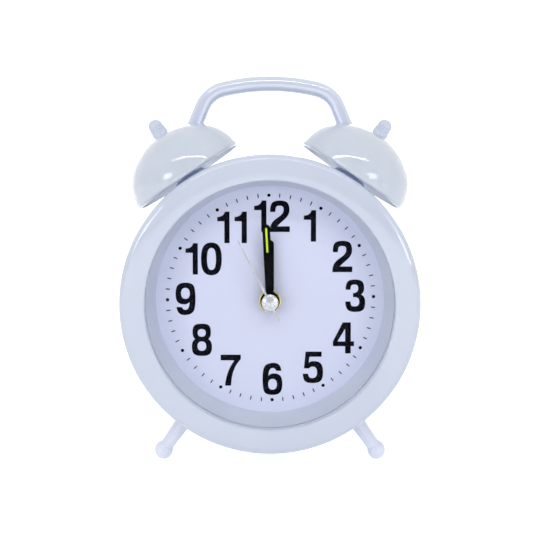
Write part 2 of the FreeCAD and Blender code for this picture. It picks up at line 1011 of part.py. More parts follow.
def handle_joint(side):
    """The point where the middle of a leg meets the outside of the bell."""
    crown = offset_place((0, axis_height), bell_crown_centre, bell_angle)
    place = offset_place(crown, bell_crown_radius, bell_angle - handle_seat_angle)
    return V(side * place[0], front + bell_depth, place[1])


def handle_corner():
    """Centre of the top bend, centre of the right corner bend and the top of the right leg."""
    joint = handle_joint(1)
    lean = radians(handle_leg_lean)
    up = (-sin(lean), cos(lean))
    inward = (-cos(lean), -sin(lean))
    top_centre = (0, handle_top - handle_rod_radius - handle_top_bend)
    base = (
        joint.x + handle_corner_bend * inward[0] - top_centre[0],
        joint.z + handle_corner_bend * inward[1] - top_centre[1],
    )
    reach = handle_top_bend - handle_corner_bend
    along = base[0] * up[0] + base[1] * up[1]
    rise = -along + sqrt(along**2 + reach**2 - base[0] ** 2 - base[1] ** 2)
    leg_start = (joint.x + rise * up[0], joint.z + rise * up[1])
    corner = (
        leg_start[0] + handle_corner_bend * inward[0],
        leg_start[1] + handle_corner_bend * inward[1],
    )
    return top_centre, corner, leg_start


def handle():
    top_centre, corner, leg_start = handle_corner()
    slope = degrees(atan2(corner[0], corner[1] - top_centre[1]))
    lean = radians(handle_leg_lean)
    joint = handle_joint(1)
    leg_length = (joint.x - leg_start[0]) / sin(lean) + 2 * handle_rod_radius
    leg_end = (leg_start[0] + leg_length * sin(lean), leg_start[1] - leg_length * cos(lean))
    corner_start = on_arc(corner, handle_corner_bend, 90 - slope)
    corner_middle = on_arc(corner, handle_corner_bend, (90 - slope + handle_leg_lean) / 2)
    top = (0, top_centre[1] + handle_top_bend)

    def point(place, side=1):
        return V(side * place[0], front + bell_depth, place[1])

    path = [
        Part.LineSegment(point(leg_end, -1), point(leg_start, -1)).toShape(),
        Part.Arc(
            point(leg_start, -1), point(corner_middle, -1), point(corner_start, -1)
        ).toShape(),
        Part.Arc(point(corner_start, -1), point(top), point(corner_start)).toShape(),
        Part.Arc(point(corner_start), point(corner_middle), point(leg_start)).toShape(),
        Part.LineSegment(point(leg_start), point(leg_end)).toShape(),
    ]
    section = Part.Wire(
        Part.makeCircle(
            handle_rod_radius, point(leg_end, -1), point(leg_start, -1) - point(leg_end, -1)
        )
    )
    bow = Part.Wire(path).makePipeShell([section], True, False)
    bow = bow.Solids[0] if bow.Solids else Part.Solid(bow)
    bow = without(bow, bell_outside(-1), bell_outside(1))
    spigots = []
    for side in (-1, 1):
        middle = handle_joint(side)
        bottom = middle.z - bell_wall - handle_nut_gap - handle_nut_thickness
        start = V(middle.x, middle.y, bottom)
        spigots.append(
            Part.makeCylinder(
                handle_spigot_radius, middle.z + handle_rod_radius / 2 - bottom, start, V(0, 0, 1)
            )
        )
    return fused(bow, *spigots)


def handle_nuts():
    nuts = []
    for side in (-1, 1):
        middle = handle_joint(side)
        bottom = middle.z - bell_wall - handle_nut_gap - handle_nut_thickness
        start = V(middle.x, middle.y, bottom)
        nut = hexagon(handle_nut_flats, handle_nut_thickness, start, V(0, 0, 1))
        hole = Part.makeCylinder(handle_spigot_radius, 3 * handle_nut_thickness, start, V(0, 0, 1))
        nuts.append(without(nut, hole))
    return Part.makeCompound(nuts)


# Feet

def foot(side):
    ball_height = foot_ball_radius - foot_flat_cut
    ball = (axis_height - ball_height) / cos(radians(180 - foot_angle))
    drum = drum_radius_at(foot_depth)
    collar = drum + foot_collar
    neck_at = ball - sqrt(foot_ball_radius**2 - foot_neck_radius**2)
    body = spoke(
        side * foot_angle,
        foot_depth,
        (0, drum - foot_flange_radius),
        (foot_flange_radius, drum - foot_flange_radius),
        (foot_flange_radius, collar),
        (foot_flange_radius - foot_flange_slope, collar + foot_flange_slope),
        ((foot_waist_radius, (collar + neck_at) / 2), (foot_neck_radius, neck_at)),
        ((foot_ball_radius, ball), (0, ball + foot_ball_radius)),
    )
    body = without(body, turned(*drum_outside()), table_cut())
    inside = drum - drum_wall
    rivet_bottom = inside - 2 * foot_rivet_height
    stud = spoke_rod(side * foot_angle, foot_depth, foot_stud_radius, rivet_bottom, collar)
    rivet = spoke_rod(
        side * foot_angle,
        foot_depth,
        foot_rivet_radius,
        rivet_bottom,
        rivet_bottom + foot_rivet_height,
    )
    return fused(body, stud, rivet)


def rear_foot():
    drum = drum_radius_at(rear_foot_depth)
    flange = drum + rear_foot_flange_length
    body = spoke(
        180,
        rear_foot_depth,
        (0, drum - rear_foot_flange_radius),
        (rear_foot_flange_radius, drum - rear_foot_flange_radius),
        (rear_foot_flange_radius, flange),
        (rear_foot_radius, flange + rear_foot_flange_radius - rear_foot_radius),
        (rear_foot_radius, axis_height - rear_foot_round),
        (
            on_arc(
                (rear_foot_radius - rear_foot_round, axis_height - rear_foot_round),
                rear_foot_round,
                45,
            ),
            (rear_foot_radius - rear_foot_round, axis_height),
        ),
        (0, axis_height),
    )
    body = without(body, turned(*drum_outside()))
    rivet_bottom = drum - drum_wall - 2 * foot_rivet_height
    stud = spoke_rod(180, rear_foot_depth, foot_stud_radius, rivet_bottom, flange)
    rivet = spoke_rod(
        180, rear_foot_depth, foot_rivet_radius, rivet_bottom, rivet_bottom + foot_rivet_height
    )
    return fused(body, stud, rivet)


def table_cut():
    size = 4 * bezel_radius
    return Part.makeBox(size, size, size, V(-size / 2, -size / 2, -size))


# Hands and their wheels

def baton(length, width, hub, from_depth, thickness, clock_angle):
    """A straight hand with a round tip that points to twelve before it is turned."""
    half = width / 2
    face = outline((-half, 0), (-half, length - half), ((0, length), (half, length - half)), (half, 0))
    face.rotate(V(0, 0, 0), V(1, 0, 0), 90)
    blade = face.extrude(V(0, thickness, 0))
    blade.translate(V(0, front + from_depth, axis_height))
    blade = without(blade, rod(hub / 2, from_depth - 1, from_depth + thickness + 1))
    return turn_in_clock(blade, clock_angle)


def strip(from_radius, length, width, from_depth, to_depth, clock_angle):
    bar = block(-width / 2, width / 2, from_radius, from_radius + length, from_depth, to_depth)
    return turn_in_clock(bar, clock_angle)


def minute_blade_depth():
    return minute_hub_depth + (minute_hub_thickness - hand_thickness) / 2


def minute_hand():
    depth = minute_blade_depth()
    hub = rod(minute_hub_radius, minute_hub_depth, minute_hub_depth + minute_hub_thickness)
    blade = baton(
        minute_hand_length, hand_width, minute_hub_radius, depth, hand_thickness, minute_hand_angle
    )
    hole = rod(minute_tube_radius, minute_hub_depth - 1, minute_hub_depth + minute_hub_thickness + 1)
    groove = strip(
        minute_strip_from,
        minute_strip_length,
        strip_width,
        depth - 1,
        depth + strip_thickness,
        minute_hand_angle,
    )
    return without(fused(hub, blade), hole, groove)


def minute_strip():
    depth = minute_blade_depth()
    return strip(
        minute_strip_from,
        minute_strip_length,
        strip_width,
        depth,
        depth + strip_thickness,
        minute_hand_angle,
    )


def hour_blade_depth():
    return hour_hub_depth + (hour_hub_thickness - hand_thickness) / 2


def hour_hand():
    depth = hour_blade_depth()
    hub = rod(hour_hub_radius, hour_hub_depth, hour_hub_depth + hour_hub_thickness)
    blade = baton(
        hour_hand_length, hand_width, hour_hub_radius, depth, hand_thickness, hour_hand_angle
    )
    hole = rod(hour_tube_radius, hour_hub_depth - 1, hour_hub_depth + hour_hub_thickness + 1)
    groove = strip(
        hour_strip_from,
        hour_strip_length,
        strip_width,
        depth - 1,
        depth + strip_thickness,
        hour_hand_angle,
    )
    return without(fused(hub, blade), hole, groove)


def hour_strip():
    depth = hour_blade_depth()
    return strip(
        hour_strip_from,
        hour_strip_length,
        strip_width,
        depth,
        depth + strip_thickness,
        hour_hand_angle,
    )


def hour_hand_collet():
    return tube(hour_tube_radius, hour_collet_radius, hour_collet_depth, hour_hub_depth)


def alarm_hand():
    depth = alarm_hub_depth + (alarm_hub_thickness - strip_thickness) / 2
    hub = rod(alarm_hub_radius, alarm_hub_depth, alarm_hub_depth + alarm_hub_thickness)
    blade = baton(
        alarm_hand_length,
        alarm_hand_width,
        alarm_hub_radius,
        depth,
        strip_thickness,
        alarm_hand_angle,
    )
    hole = rod(alarm_tube_radius, alarm_hub_depth - 1, alarm_hub_depth + alarm_hub_thickness + 1)
    return without(fused(hub, blade), hole)


def second_hand():
    half = second_hand_width / 2
    point = second_hand_point / 2
    depth = second_hand_depth
    needle = extruded(
        [
            (-point, -second_hand_tail),
            (point, -second_hand_tail),
            (half, -boss_radius),
            (half, boss_radius),
            (point, second_hand_length),
            (-point, second_hand_length),
            (-half, boss_radius),
            (-half, -boss_radius),
        ],
        depth,
        depth + second_hand_thickness,
    )
    disc = rod(boss_radius / 2, depth, depth + second_hand_thickness)
    hole = rod(second_radius, depth - 1, depth + second_hand_thickness + 1)
    return without(fused(turn_in_clock(needle, second_hand_angle), disc), hole)


def second_hand_boss():
    back = second_hand_depth
    round_start = boss_front_depth + boss_thickness / 2
    body = turned(
        (boss_radius, round_start),
        round_end(boss_radius, round_start, boss_front_depth),
        (0, back),
        (boss_radius, back),
    )
    return without(body, rod(second_radius, second_end_depth(), back + 1))


def second_end_depth():
    return second_hand_depth - boss_thickness / 2


def second_wheel():
    arbor = rod(second_radius, second_end_depth(), pivot_end_depth)
    disc = wheel(
        second_teeth, train_module, hand_place, second_phase, second_wheel_depth, train_wheel_thickness
    )
    return fused(arbor, disc)


def cannon_pinion():
    end = middle_plate_depth - wheel_gap
    body = rod(minute_tube_radius, minute_hub_depth, end)
    pinion = wheel(
        cannon_teeth, motion_module, hand_place, cannon_phase, motion_wheel_depth, wheel_thickness
    )
    return without(fused(body, pinion), rod(minute_bore, minute_hub_depth - 1, end + 1))


def hour_wheel():
    end = hour_wheel_depth + wheel_thickness
    body = rod(hour_tube_radius, hour_collet_depth, end)
    disc = wheel(
        hour_teeth, motion_module, hand_place, hour_phase, hour_wheel_depth, wheel_thickness
    )
    return without(fused(body, disc), rod(hour_bore, hour_collet_depth - 1, end + 1))


def alarm_wheel():
    end = alarm_wheel_depth + wheel_thickness
    body = rod(alarm_tube_radius, alarm_hub_depth, end)
    disc = wheel(
        alarm_teeth, motion_module, hand_place, alarm_phase, alarm_wheel_depth, wheel_thickness
    )
    return without(fused(body, disc), rod(alarm_bore, alarm_hub_depth - 1, end + 1))


def motion_wheel():
    disc = wheel(
        motion_teeth, motion_module, motion_place, motion_phase, motion_wheel_depth, wheel_thickness
    )
    pinion = wheel(
        motion_pinion_teeth,
        motion_module,
        motion_place,
        motion_pinion_phase,
        hour_wheel_depth,
        motion_wheel_depth - hour_wheel_depth,
    )
    bore = rod(
        motion_post_radius + running_clearance,
        hour_wheel_depth - 1,
        middle_plate_depth,
        motion_place,
    )
    return without(fused(disc, pinion), bore)


def time_set_arbor():
    pinion = wheel(
        time_set_teeth,
        motion_module,
        time_set_place,
        time_set_phase,
        motion_wheel_depth,
        wheel_thickness,
    )
    pivot = rod(
        set_pivot_radius,
        plate_back_depth - pivot_hole_depth,
        motion_wheel_depth + wheel_thickness,
        time_set_place,
    )
    shaft = rod(
        set_shaft_radius, motion_wheel_depth + wheel_thickness, shaft_end_depth, time_set_place
    )
    return fused(pinion, pivot, shaft)


def alarm_set_arbor():
    disc = wheel(
        alarm_set_teeth,
        motion_module,
        alarm_set_place,
        alarm_set_phase,
        alarm_wheel_depth,
        wheel_thickness,
    )
    pivot = rod(
        set_pivot_radius,
        plate_back_depth - pivot_hole_depth,
        alarm_wheel_depth + wheel_thickness,
        alarm_set_place,
    )
    shaft = rod(
        set_shaft_radius, alarm_wheel_depth + wheel_thickness, shaft_end_depth, alarm_set_place
    )
    return fused(disc, pivot, shaft)


def knob(radius, place):
    """A push-on knob with grip grooves round its side."""
    points = []
    for k in range(knob_grooves):
        for share, inset in knob_groove_steps:
            points.append(offset_place(place, radius - inset, 360.0 * (k + share) / knob_grooves))
    body = extruded(points, knob_front_depth, total_depth)
    edge = total_depth - knob_top_round
    cap = turned(
        (0, knob_front_depth),
        (radius, knob_front_depth),
        (radius, edge),
        (on_arc((radius - knob_top_round, edge), knob_top_round, 45), (radius - knob_top_round, total_depth)),
        (0, total_depth),
        place=place,
    )
    bore = rod(set_shaft_radius, knob_front_depth - 1, shaft_end_depth, place)
    return without(body.common(cap).Solids[0], bore)


def intermediate_wheel():
    arbor = rod(train_pivot_radius, middle_plate_depth, pivot_end_depth, intermediate_place)
    pinion = wheel(
        intermediate_pinion_teeth,
        train_module,
        intermediate_place,
        intermediate_pinion_phase,
        second_wheel_depth,
        intermediate_depth - second_wheel_depth,
    )
    disc = wheel(
        intermediate_teeth,
        train_module,
        intermediate_place,
        intermediate_phase,
        intermediate_depth,
        train_wheel_thickness,
    )
    return fused(arbor, pinion, disc)


def rotor():
    arbor = rod(train_pivot_radius, middle_plate_depth, pivot_end_depth, rotor_place)
    pinion = wheel(
        rotor_teeth,
        train_module,
        rotor_place,
        rotor_phase,
        intermediate_depth,
        stator_depth - intermediate_depth,
    )
    magnet = rod(magnet_radius, stator_depth, stator_depth + magnet_thickness, rotor_place)
    return fused(arbor, pinion, magnet)


# Movement

def movement_front_plate():
    outer = movement_half_width + plate_margin
    plate = block(
        -outer, outer, -movement_below, movement_above, dial_back_depth, plate_back_depth
    )
    bush = rod(bush_radius, dial_depth - bush_above_dial, plate_back_depth)
    posts = [rod(plate_post_radius, plate_back_depth, middle_plate_depth, p) for p in plate_posts]
    posts.append(rod(motion_post_radius, plate_back_depth, middle_plate_depth, motion_place))
    lugs = [
        block(
            min(side * (movement_half_width + free_clearance), side * lug_reach),
            max(side * (movement_half_width + free_clearance), side * lug_reach),
            -lug_half_height,
            lug_half_height,
            plate_back_depth,
            plate_back_depth + lug_thickness,
        )
        for side in (-1, 1)
    ]
    cutters = [rod(bush_bore, dial_depth - bush_above_dial - 1, plate_back_depth + 1)]
    for place in (time_set_place, alarm_set_place):
        cutters.append(
            rod(
                set_pivot_radius + running_clearance,
                plate_back_depth - pivot_hole_depth - running_clearance,
                plate_back_depth + 1,
                place,
            )
        )
    for place in corner_places:
        cutters.append(
            rod(movement_screw_radius, dial_back_depth + 0.5, plate_back_depth + 1, place)
        )
    for side in (-1, 1):
        cutters.append(
            rod(
                movement_screw_radius,
                plate_back_depth - 1,
                plate_back_depth + lug_thickness + 1,
                (side * lug_screw_at, 0),
            )
        )
    return without(fused(plate, bush, *posts, *lugs), *cutters)


def middle_plate():
    inner = movement_half_width - movement_wall - free_clearance
    plate = block(
        -inner,
        inner,
        -movement_below + movement_wall + free_clearance,
        movement_above - movement_wall - free_clearance,
        middle_plate_depth,
        middle_plate_back,
    )
    cutters = [
        rod(corner_radius + free_clearance, middle_plate_depth - 1, middle_plate_back + 1, place)
        for place in corner_places
    ]
    for place, radius in (
        (hand_place, second_radius + running_clearance),
        (time_set_place, set_shaft_radius + free_clearance),
        (alarm_set_place, set_shaft_radius + free_clearance),
        (intermediate_place, train_pivot_radius + running_clearance),
        (rotor_place, train_pivot_radius + running_clearance),
    ):
        cutters.append(rod(radius, middle_plate_depth - 1, middle_plate_back + 1, place))
    return without(plate, *cutters)


def movement_back_shell():
    box = block(
        -movement_half_width,
        movement_half_width,
        -movement_below,
        movement_above,
        plate_back_depth,
        shell_back_depth,
    )
    hollow = block(
        -movement_half_width + movement_wall,
        movement_half_width - movement_wall,
        -movement_below + movement_wall,
        movement_above - movement_wall,
        plate_back_depth - 1,
        shell_floor_depth,
    )
    bosses = [rod(corner_radius, plate_back_depth, shell_floor_depth, p) for p in corner_places]
    boss_front = shell_floor_depth - pivot_boss_height
    for place in (hand_place, intermediate_place, rotor_place):
        bosses.append(rod(pivot_boss_radius, boss_front, shell_floor_depth, place))
    for place in board_posts():
        bosses.append(rod(plate_post_radius, board_back_depth, shell_floor_depth, place))
    for side in (-1, 1):
        place = coil_end_place(side)
        core_back = stator_depth + stator_thickness + core_thickness
        bosses.append(rod(plate_post_radius, core_back, shell_floor_depth, place))
    body = fused(without(box, hollow), *bosses)
    cutters = []
    for place, radius in (
        (hand_place, second_radius),
        (intermediate_place, train_pivot_radius),
        (rotor_place, train_pivot_radius),
    ):
        cutters.append(
            rod(radius + running_clearance, boss_front - 1, pivot_end_depth + running_clearance, place)
        )
    for place in (time_set_place, alarm_set_place):
        cutters.append(
            rod(
                set_shaft_radius + running_clearance,
                shell_floor_depth - 1,
                shell_back_depth + 1,
                place,
            )
        )
    for place in corner_places:
        cutters.append(
            rod(movement_screw_radius, plate_back_depth - 1, shell_back_depth + 1, place)
        )
    for place in buzzer_pin_places:
        cutters.append(
            rod(
                buzzer_pin_radius + free_clearance,
                shell_floor_depth - 1,
                shell_back_depth + 1,
                place,
            )
        )
    for tail in (negative_tail, positive_tail):
        cutters.append(
            block(
                tail - contact_width / 2 - free_clearance,
                tail + contact_width / 2 + free_clearance,
                -movement_below - 1,
                -movement_below + movement_wall + 1,
                board_back_depth - free_clearance,
                board_back_depth + contact_thickness + free_clearance,
            )
        )
    return without(body, *cutters)


def board_posts():
    return (
        (board_left + plate_post_radius + board_post_inset, board_bottom + board_post_rise),
        (board_right - plate_post_radius - board_post_inset, board_top - plate_post_radius),
    )


def coil_end_place(side):
    height = rotor_place[1] + stator_arm_length
    return rotor_place[0] + side * stator_arm_reach, height


def movement_screws():
    screws = [
        slotted_screw(
            movement_screw_radius,
            movement_screw_head_radius,
            dial_back_depth + 0.5,
            shell_back_depth,
            shell_back_depth + movement_screw_head_height,
            place,
        )
        for place in corner_places
    ]
    return Part.makeCompound(screws)


def mounting_screws():
    head_front = plate_back_depth + lug_thickness
    screws = [
        slotted_screw(
            movement_screw_radius,
            movement_screw_head_radius,
            dial_back_depth + carrier_thickness - lug_thickness,
            head_front,
            head_front + movement_screw_head_height,
            (side * lug_screw_at, 0),
        )
        for side in (-1, 1)
    ]
    return Part.makeCompound(screws)


def stator():
    hole = magnet_radius + stator_gap
    ring = rod(hole + stator_ring, stator_depth, stator_depth + stator_thickness, rotor_place)
    bottom = rotor_place[1] - stator_arm_width / 2
    arms = []
    for side in (-1, 1):
        x = rotor_place[0] + side * stator_arm_reach
        top = coil_end_place(side)[1] + stator_arm_width / 2
        arms.append(
            block(
                x - stator_arm_width / 2,
                x + stator_arm_width / 2,
                bottom,
                top,
                stator_depth,
                stator_depth + stator_thickness,
            )
        )
        arms.append(
            block(
                min(x, rotor_place[0]),
                max(x, rotor_place[0]),
                bottom,
                bottom + stator_arm_width,
                stator_depth,
                stator_depth + stator_thickness,
            )
        )
    opening = rod(hole, stator_depth - 1, stator_depth + stator_thickness + 1, rotor_place)
    passage = rod(
        train_pivot_radius + 2 * free_clearance,
        stator_depth - 1,
        stator_depth + stator_thickness + 1,
        intermediate_place,
    )
    return without(fused(ring, *arms), opening, passage)


def coil_core():
    left = coil_end_place(-1)
    right = coil_end_place(1)
    front_depth = stator_depth + stator_thickness
    return block(
        left[0] - stator_arm_width / 2,
        right[0] + stator_arm_width / 2,
        left[1] - core_width / 2,
        left[1] + core_width / 2,
        front_depth,
        front_depth + core_thickness,
    )


def drive_coil():
    """A wound spool on the core, turned about an axis along X."""
    middle = (coil_end_place(-1)[0] + coil_end_place(1)[0]) / 2
    half = coil_length / 2
    body = outline(
        (0, -half),
        (coil_flange_radius, -half),
        (coil_flange_radius, -half + coil_flange),
        (coil_radius, -half + coil_flange),
        (coil_radius, half - coil_flange),
        (coil_flange_radius, half - coil_flange),
        (coil_flange_radius, half),
        (0, half),
    ).revolve(V(0, 0, 0), V(0, 1, 0), 360)
    body.rotate(V(0, 0, 0), V(0, 0, 1), -90)
    depth = stator_depth + stator_thickness + core_thickness / 2
    body.translate(V(middle, front + depth, axis_height + coil_end_place(1)[1]))
    return without(body, coil_core())


def circuit_board():
    plate = block(
        board_left, board_right, board_bottom, board_top, board_depth, board_back_depth
    )
    hole = rod(board_hole_radius, board_depth - 1, board_back_depth + 1, time_set_place)
    chip = rod(chip_radius, board_back_depth, board_back_depth + chip_height, chip_place)
    corner = rod(
        corner_radius + free_clearance, board_depth - 1, board_back_depth + 1, corner_places[2]
    )
    lower_corner = rod(
        corner_radius + free_clearance, board_depth - 1, board_back_depth + 1, corner_places[0]
    )
    return fused(without(plate, hole, corner, lower_corner), chip)


def quartz_crystal():
    start = V(
        crystal_place[0],
        front + board_back_depth + crystal_radius,
        axis_height + crystal_place[1] - crystal_length / 2,
    )
    return Part.makeCylinder(crystal_radius, crystal_length, start, V(0, 0, 1))


def buzzer():
    return rod(buzzer_radius, buzzer_depth, buzzer_depth + buzzer_thickness, (0, buzzer_height))


def buzzer_pins():
    pins = [
        rod(buzzer_pin_radius, board_back_depth, buzzer_depth, place)
        for place in buzzer_pin_places
    ]
    return Part.makeCompound(pins)


# Cell and contacts

def battery():
    half = cell_length / 2
    corner = cell_edge_round
    body = outline(
        (0, -half),
        (cell_radius - corner, -half),
        (
            on_arc((cell_radius - corner, -half + corner), corner, -45),
            (cell_radius, -half + corner),
        ),
        (cell_radius, half - corner),
        (
            on_arc((cell_radius - corner, half - corner), corner, 45),
            (cell_radius - corner, half),
        ),
        (cell_nub_radius, half),
        (cell_nub_radius, half + cell_nub_length),
        (0, half + cell_nub_length),
    ).revolve(V(0, 0, 0), V(0, 1, 0), 360)
    body.rotate(V(0, 0, 0), V(0, 0, 1), -90)
    body.translate(V(0, front + cell_depth, axis_height + cell_height))
    return body


def contact_plate_from(side):
    """The inner face of a contact plate, which lies against the end wall of the pocket."""
    return side * (pocket_half_length - contact_thickness)


def contact_slot(side):
    """The slot in the pocket's end wall and roof that a contact strip comes out by."""
    inner = side * (pocket_half_length - contact_thickness - running_clearance)
    outer = side * (pocket_half_length + pocket_wall + 1)
    return block(
        min(inner, outer),
        max(inner, outer),
        cell_height,
        cell_height + pocket_half_height + pocket_wall + 1,
        strip_from() - free_clearance,
        strip_to() + free_clearance,
    )


def strip_from():
    return pocket_floor_depth + free_clearance


def strip_to():
    return strip_from() + contact_width


def contact(side, tail):
    """A stamped strip: a plate at the end of the cell, a run above the pocket and a tail."""
    inner = contact_plate_from(side)
    outer = side * pocket_half_length
    plate = block(
        min(inner, outer),
        max(inner, outer),
        cell_height - contact_half_height,
        cell_height + contact_half_height,
        strip_from(),
        cell_depth + contact_half_height,
    )
    run_height = -movement_below - pocket_below_movement / 2
    riser = block(
        min(inner, outer),
        max(inner, outer),
        cell_height,
        run_height + contact_thickness,
        strip_from(),
        strip_to(),
    )
    run = block(
        min(inner, outer, tail - contact_width / 2),
        max(inner, outer, tail - contact_width / 2),
        run_height,
        run_height + contact_thickness,
        strip_from(),
        strip_to(),
    )
    bridge = block(
        tail - contact_width / 2,
        tail + contact_width / 2,
        run_height,
        run_height + contact_thickness,
        min(board_back_depth, strip_from()),
        max(board_back_depth + contact_thickness, strip_to()),
    )
    rise = block(
        tail - contact_width / 2,
        tail + contact_width / 2,
        run_height,
        board_bottom + contact_rise,
        board_back_depth,
        board_back_depth + contact_thickness,
    )
    return fused(plate, riser, run, bridge, rise)


def bulge(side, length):
    """The pressed dimple that touches the cell."""
    inner = contact_plate_from(side)
    start = V(inner, front + cell_depth, axis_height + cell_height)
    return Part.makeCone(
        contact_bulge_radius, contact_bulge_radius / 2, length, start, V(-side, 0, 0)
    )


def negative_contact():
    length = abs(contact_plate_from(-1)) - cell_length / 2
    return fused(contact(-1, negative_tail), bulge(-1, length))


def positive_contact():
    length = contact_plate_from(1) - cell_length / 2 - cell_nub_length
    if length > running_clearance:
        return fused(contact(1, positive_tail), bulge(1, length))
    return contact(1, positive_tail)


pieces = {
    "bezel": bezel(),
    "lens": lens(),
    "cone_ring": cone_ring(),
    "dial": dial(),
    "dial_carrier": dial_carrier(),
    "case_drum": case_drum(),
    "back_cover": back_cover(),
    "battery_door": battery_door(),
    "alarm_switch": alarm_switch(),
    "case_screws": case_screws(),
    "bell_left": bell(-1),
    "bell_right": bell(1),
    "bell_post_left": bell_post(-1),
    "bell_post_right": bell_post(1),
    "bell_nuts": bell_nuts(),
    "finial_left": finial(-1),
    "finial_right": finial(1),
    "handle": handle(),
    "handle_nuts": handle_nuts(),
    "foot_left": foot(-1),
    "foot_right": foot(1),
    "rear_foot": rear_foot(),
    "second_hand": second_hand(),
    "second_hand_boss": second_hand_boss(),
    "minute_hand": minute_hand(),
    "minute_hand_strip": minute_strip(),
    "hour_hand": hour_hand(),
    "hour_hand_strip": hour_strip(),
    "hour_hand_collet": hour_hand_collet(),
    "alarm_hand": alarm_hand(),
    "second_wheel": second_wheel(),
    "cannon_pinion": cannon_pinion(),
    "hour_wheel": hour_wheel(),
    "alarm_wheel": alarm_wheel(),
    "motion_wheel": motion_wheel(),
    "intermediate_wheel": intermediate_wheel(),
    "rotor": rotor(),
    "time_set_arbor": time_set_arbor(),
    "alarm_set_arbor": alarm_set_arbor(),
    "time_knob": knob(time_knob_radius, time_set_place),
    "alarm_knob": knob(alarm_knob_radius, alarm_set_place),
    "movement_front_plate": movement_front_plate(),
    "middle_plate": middle_plate(),
    "movement_back_shell": movement_back_shell(),
    "movement_screws": movement_screws(),
    "mounting_screws": mounting_screws(),
    "stator": stator(),
    "coil_core": coil_core(),
    "drive_coil": drive_coil(),
    "circuit_board": circuit_board(),
    "quartz_crystal": quartz_crystal(),
    "buzzer": buzzer(),
    "buzzer_pins": buzzer_pins(),
    "battery": battery(),
    "negative_contact": negative_contact(),
    "positive_contact": positive_contact(),
}

os.makedirs("parts", exist_ok=True)
for name, shape in pieces.items():
    shape.exportStep("parts/" + name + ".step")
    print(name, len(shape.Solids), round(shape.Volume, 2), shape.isValid())
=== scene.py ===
import json
import math

import bpy
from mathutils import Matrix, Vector
from mathutils.geometry import tessellate_polygon


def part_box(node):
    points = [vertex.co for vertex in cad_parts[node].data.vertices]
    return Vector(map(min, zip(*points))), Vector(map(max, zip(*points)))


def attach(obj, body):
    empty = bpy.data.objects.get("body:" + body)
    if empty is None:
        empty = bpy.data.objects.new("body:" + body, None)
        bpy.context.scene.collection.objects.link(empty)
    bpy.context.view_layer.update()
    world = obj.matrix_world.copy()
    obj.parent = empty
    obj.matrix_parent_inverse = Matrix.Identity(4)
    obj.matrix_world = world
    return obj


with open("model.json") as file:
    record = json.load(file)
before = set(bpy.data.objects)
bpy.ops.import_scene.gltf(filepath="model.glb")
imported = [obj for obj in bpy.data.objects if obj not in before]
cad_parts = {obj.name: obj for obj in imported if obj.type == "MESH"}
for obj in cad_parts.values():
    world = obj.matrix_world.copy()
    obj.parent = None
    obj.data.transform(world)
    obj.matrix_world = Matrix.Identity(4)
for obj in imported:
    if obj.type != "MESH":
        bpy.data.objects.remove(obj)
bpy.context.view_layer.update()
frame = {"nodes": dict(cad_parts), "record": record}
nodes = frame["nodes"]
MM = 0.001


# Colours, written as they should look on the clock.


def colour(red, green, blue):
    """An 8-bit screen colour as the linear colour that a shader takes."""
    out = []
    for value in (red, green, blue):
        part = value / 255
        out.append(part / 12.92 if part <= 0.04045 else ((part + 0.055) / 1.055) ** 2.4)
    return (*out, 1.0)


WHITE_PLASTIC = colour(205, 213, 229)
WHITE_PLASTIC_COOL = colour(200, 208, 226)
# The bells and their posts are the same white plastic as the case; this lighter, bluer copy is
# partly painted light that brightens the bells and their shaded hollows, and partly a correction
# for the tint of the subsurface scattering.
BELL_WHITE_PAINTED_LIGHT = colour(213, 224, 255)
BELL_WHITE_PAINTED_LIGHT_COOL = colour(208, 219, 254)
HANDLE_WHITE = colour(206, 214, 232)
HANDLE_WHITE_COOL = colour(201, 209, 228)
# The feet are the same white plastic as the case, coloured lighter: painted light that lifts the
# shade under the clock's body.
FOOT_WHITE_PAINTED_LIGHT = colour(229, 234, 250)
FOOT_WHITE_PAINTED_LIGHT_COOL = colour(225, 230, 248)
CONE_GREY = colour(207, 214, 226)
CONE_GREY_DEEP = colour(201, 209, 226)
DIAL_WHITE = colour(216, 221, 243)
DIAL_SHADE = colour(213, 218, 243)
INK_BLACK = colour(6, 7, 12)
INK_BLUE = colour(14, 14, 28)
TICK_BLUE = colour(52, 52, 84)
HAND_BLACK = colour(5, 5, 8)
HAND_BLACK_WORN = colour(9, 10, 14)
LUME_GREEN = colour(196, 232, 30)
LUME_PALE = colour(206, 236, 56)
BRASS = colour(210, 196, 132)
BRASS_DARK = colour(176, 160, 98)
SILVER = colour(214, 216, 222)
SILVER_DARK = colour(150, 153, 162)
SILVER_PALE = colour(178, 180, 186)
BACK_WHITE = colour(214, 220, 233)
BACK_WHITE_COOL = colour(206, 213, 228)
KNOB_WHITE = colour(226, 229, 236)
KNOB_WHITE_COOL = colour(216, 220, 230)
MOVEMENT_BLACK = colour(30, 31, 34)
MOVEMENT_BLACK_PALE = colour(46, 47, 52)
MAGNET_GREY = colour(58, 58, 62)
MAGNET_DARK = colour(40, 40, 44)
IRON = colour(150, 150, 152)
IRON_DARK = colour(104, 105, 110)
COPPER = colour(196, 104, 62)
COPPER_DARK = colour(120, 52, 28)
BOARD_GREEN = colour(34, 92, 58)
BOARD_TRACE = colour(62, 128, 84)
STEEL = colour(188, 190, 194)
STEEL_DARK = colour(128, 130, 136)
NICKEL = colour(206, 204, 196)
NICKEL_DARK = colour(150, 148, 142)
CELL_DARK = colour(38, 40, 46)
CELL_GOLD = colour(182, 140, 74)
FLOOR = colour(246, 247, 250)
PURE_WHITE = (1.0, 1.0, 1.0, 1.0)

# The lens bends light only a little, so the room hardly shows in it.
LENS_INDEX = 1.08
# A faint painted glow on the luminous paint; the paint is no lamp.
LUME_PAINTED_GLOW = 0.04
CELL_GOLD_FROM = 0.7
WIRE_TURNS_SCALE = 1100.0
TRACK_SCALE = 420.0


# Building blocks for the node trees.


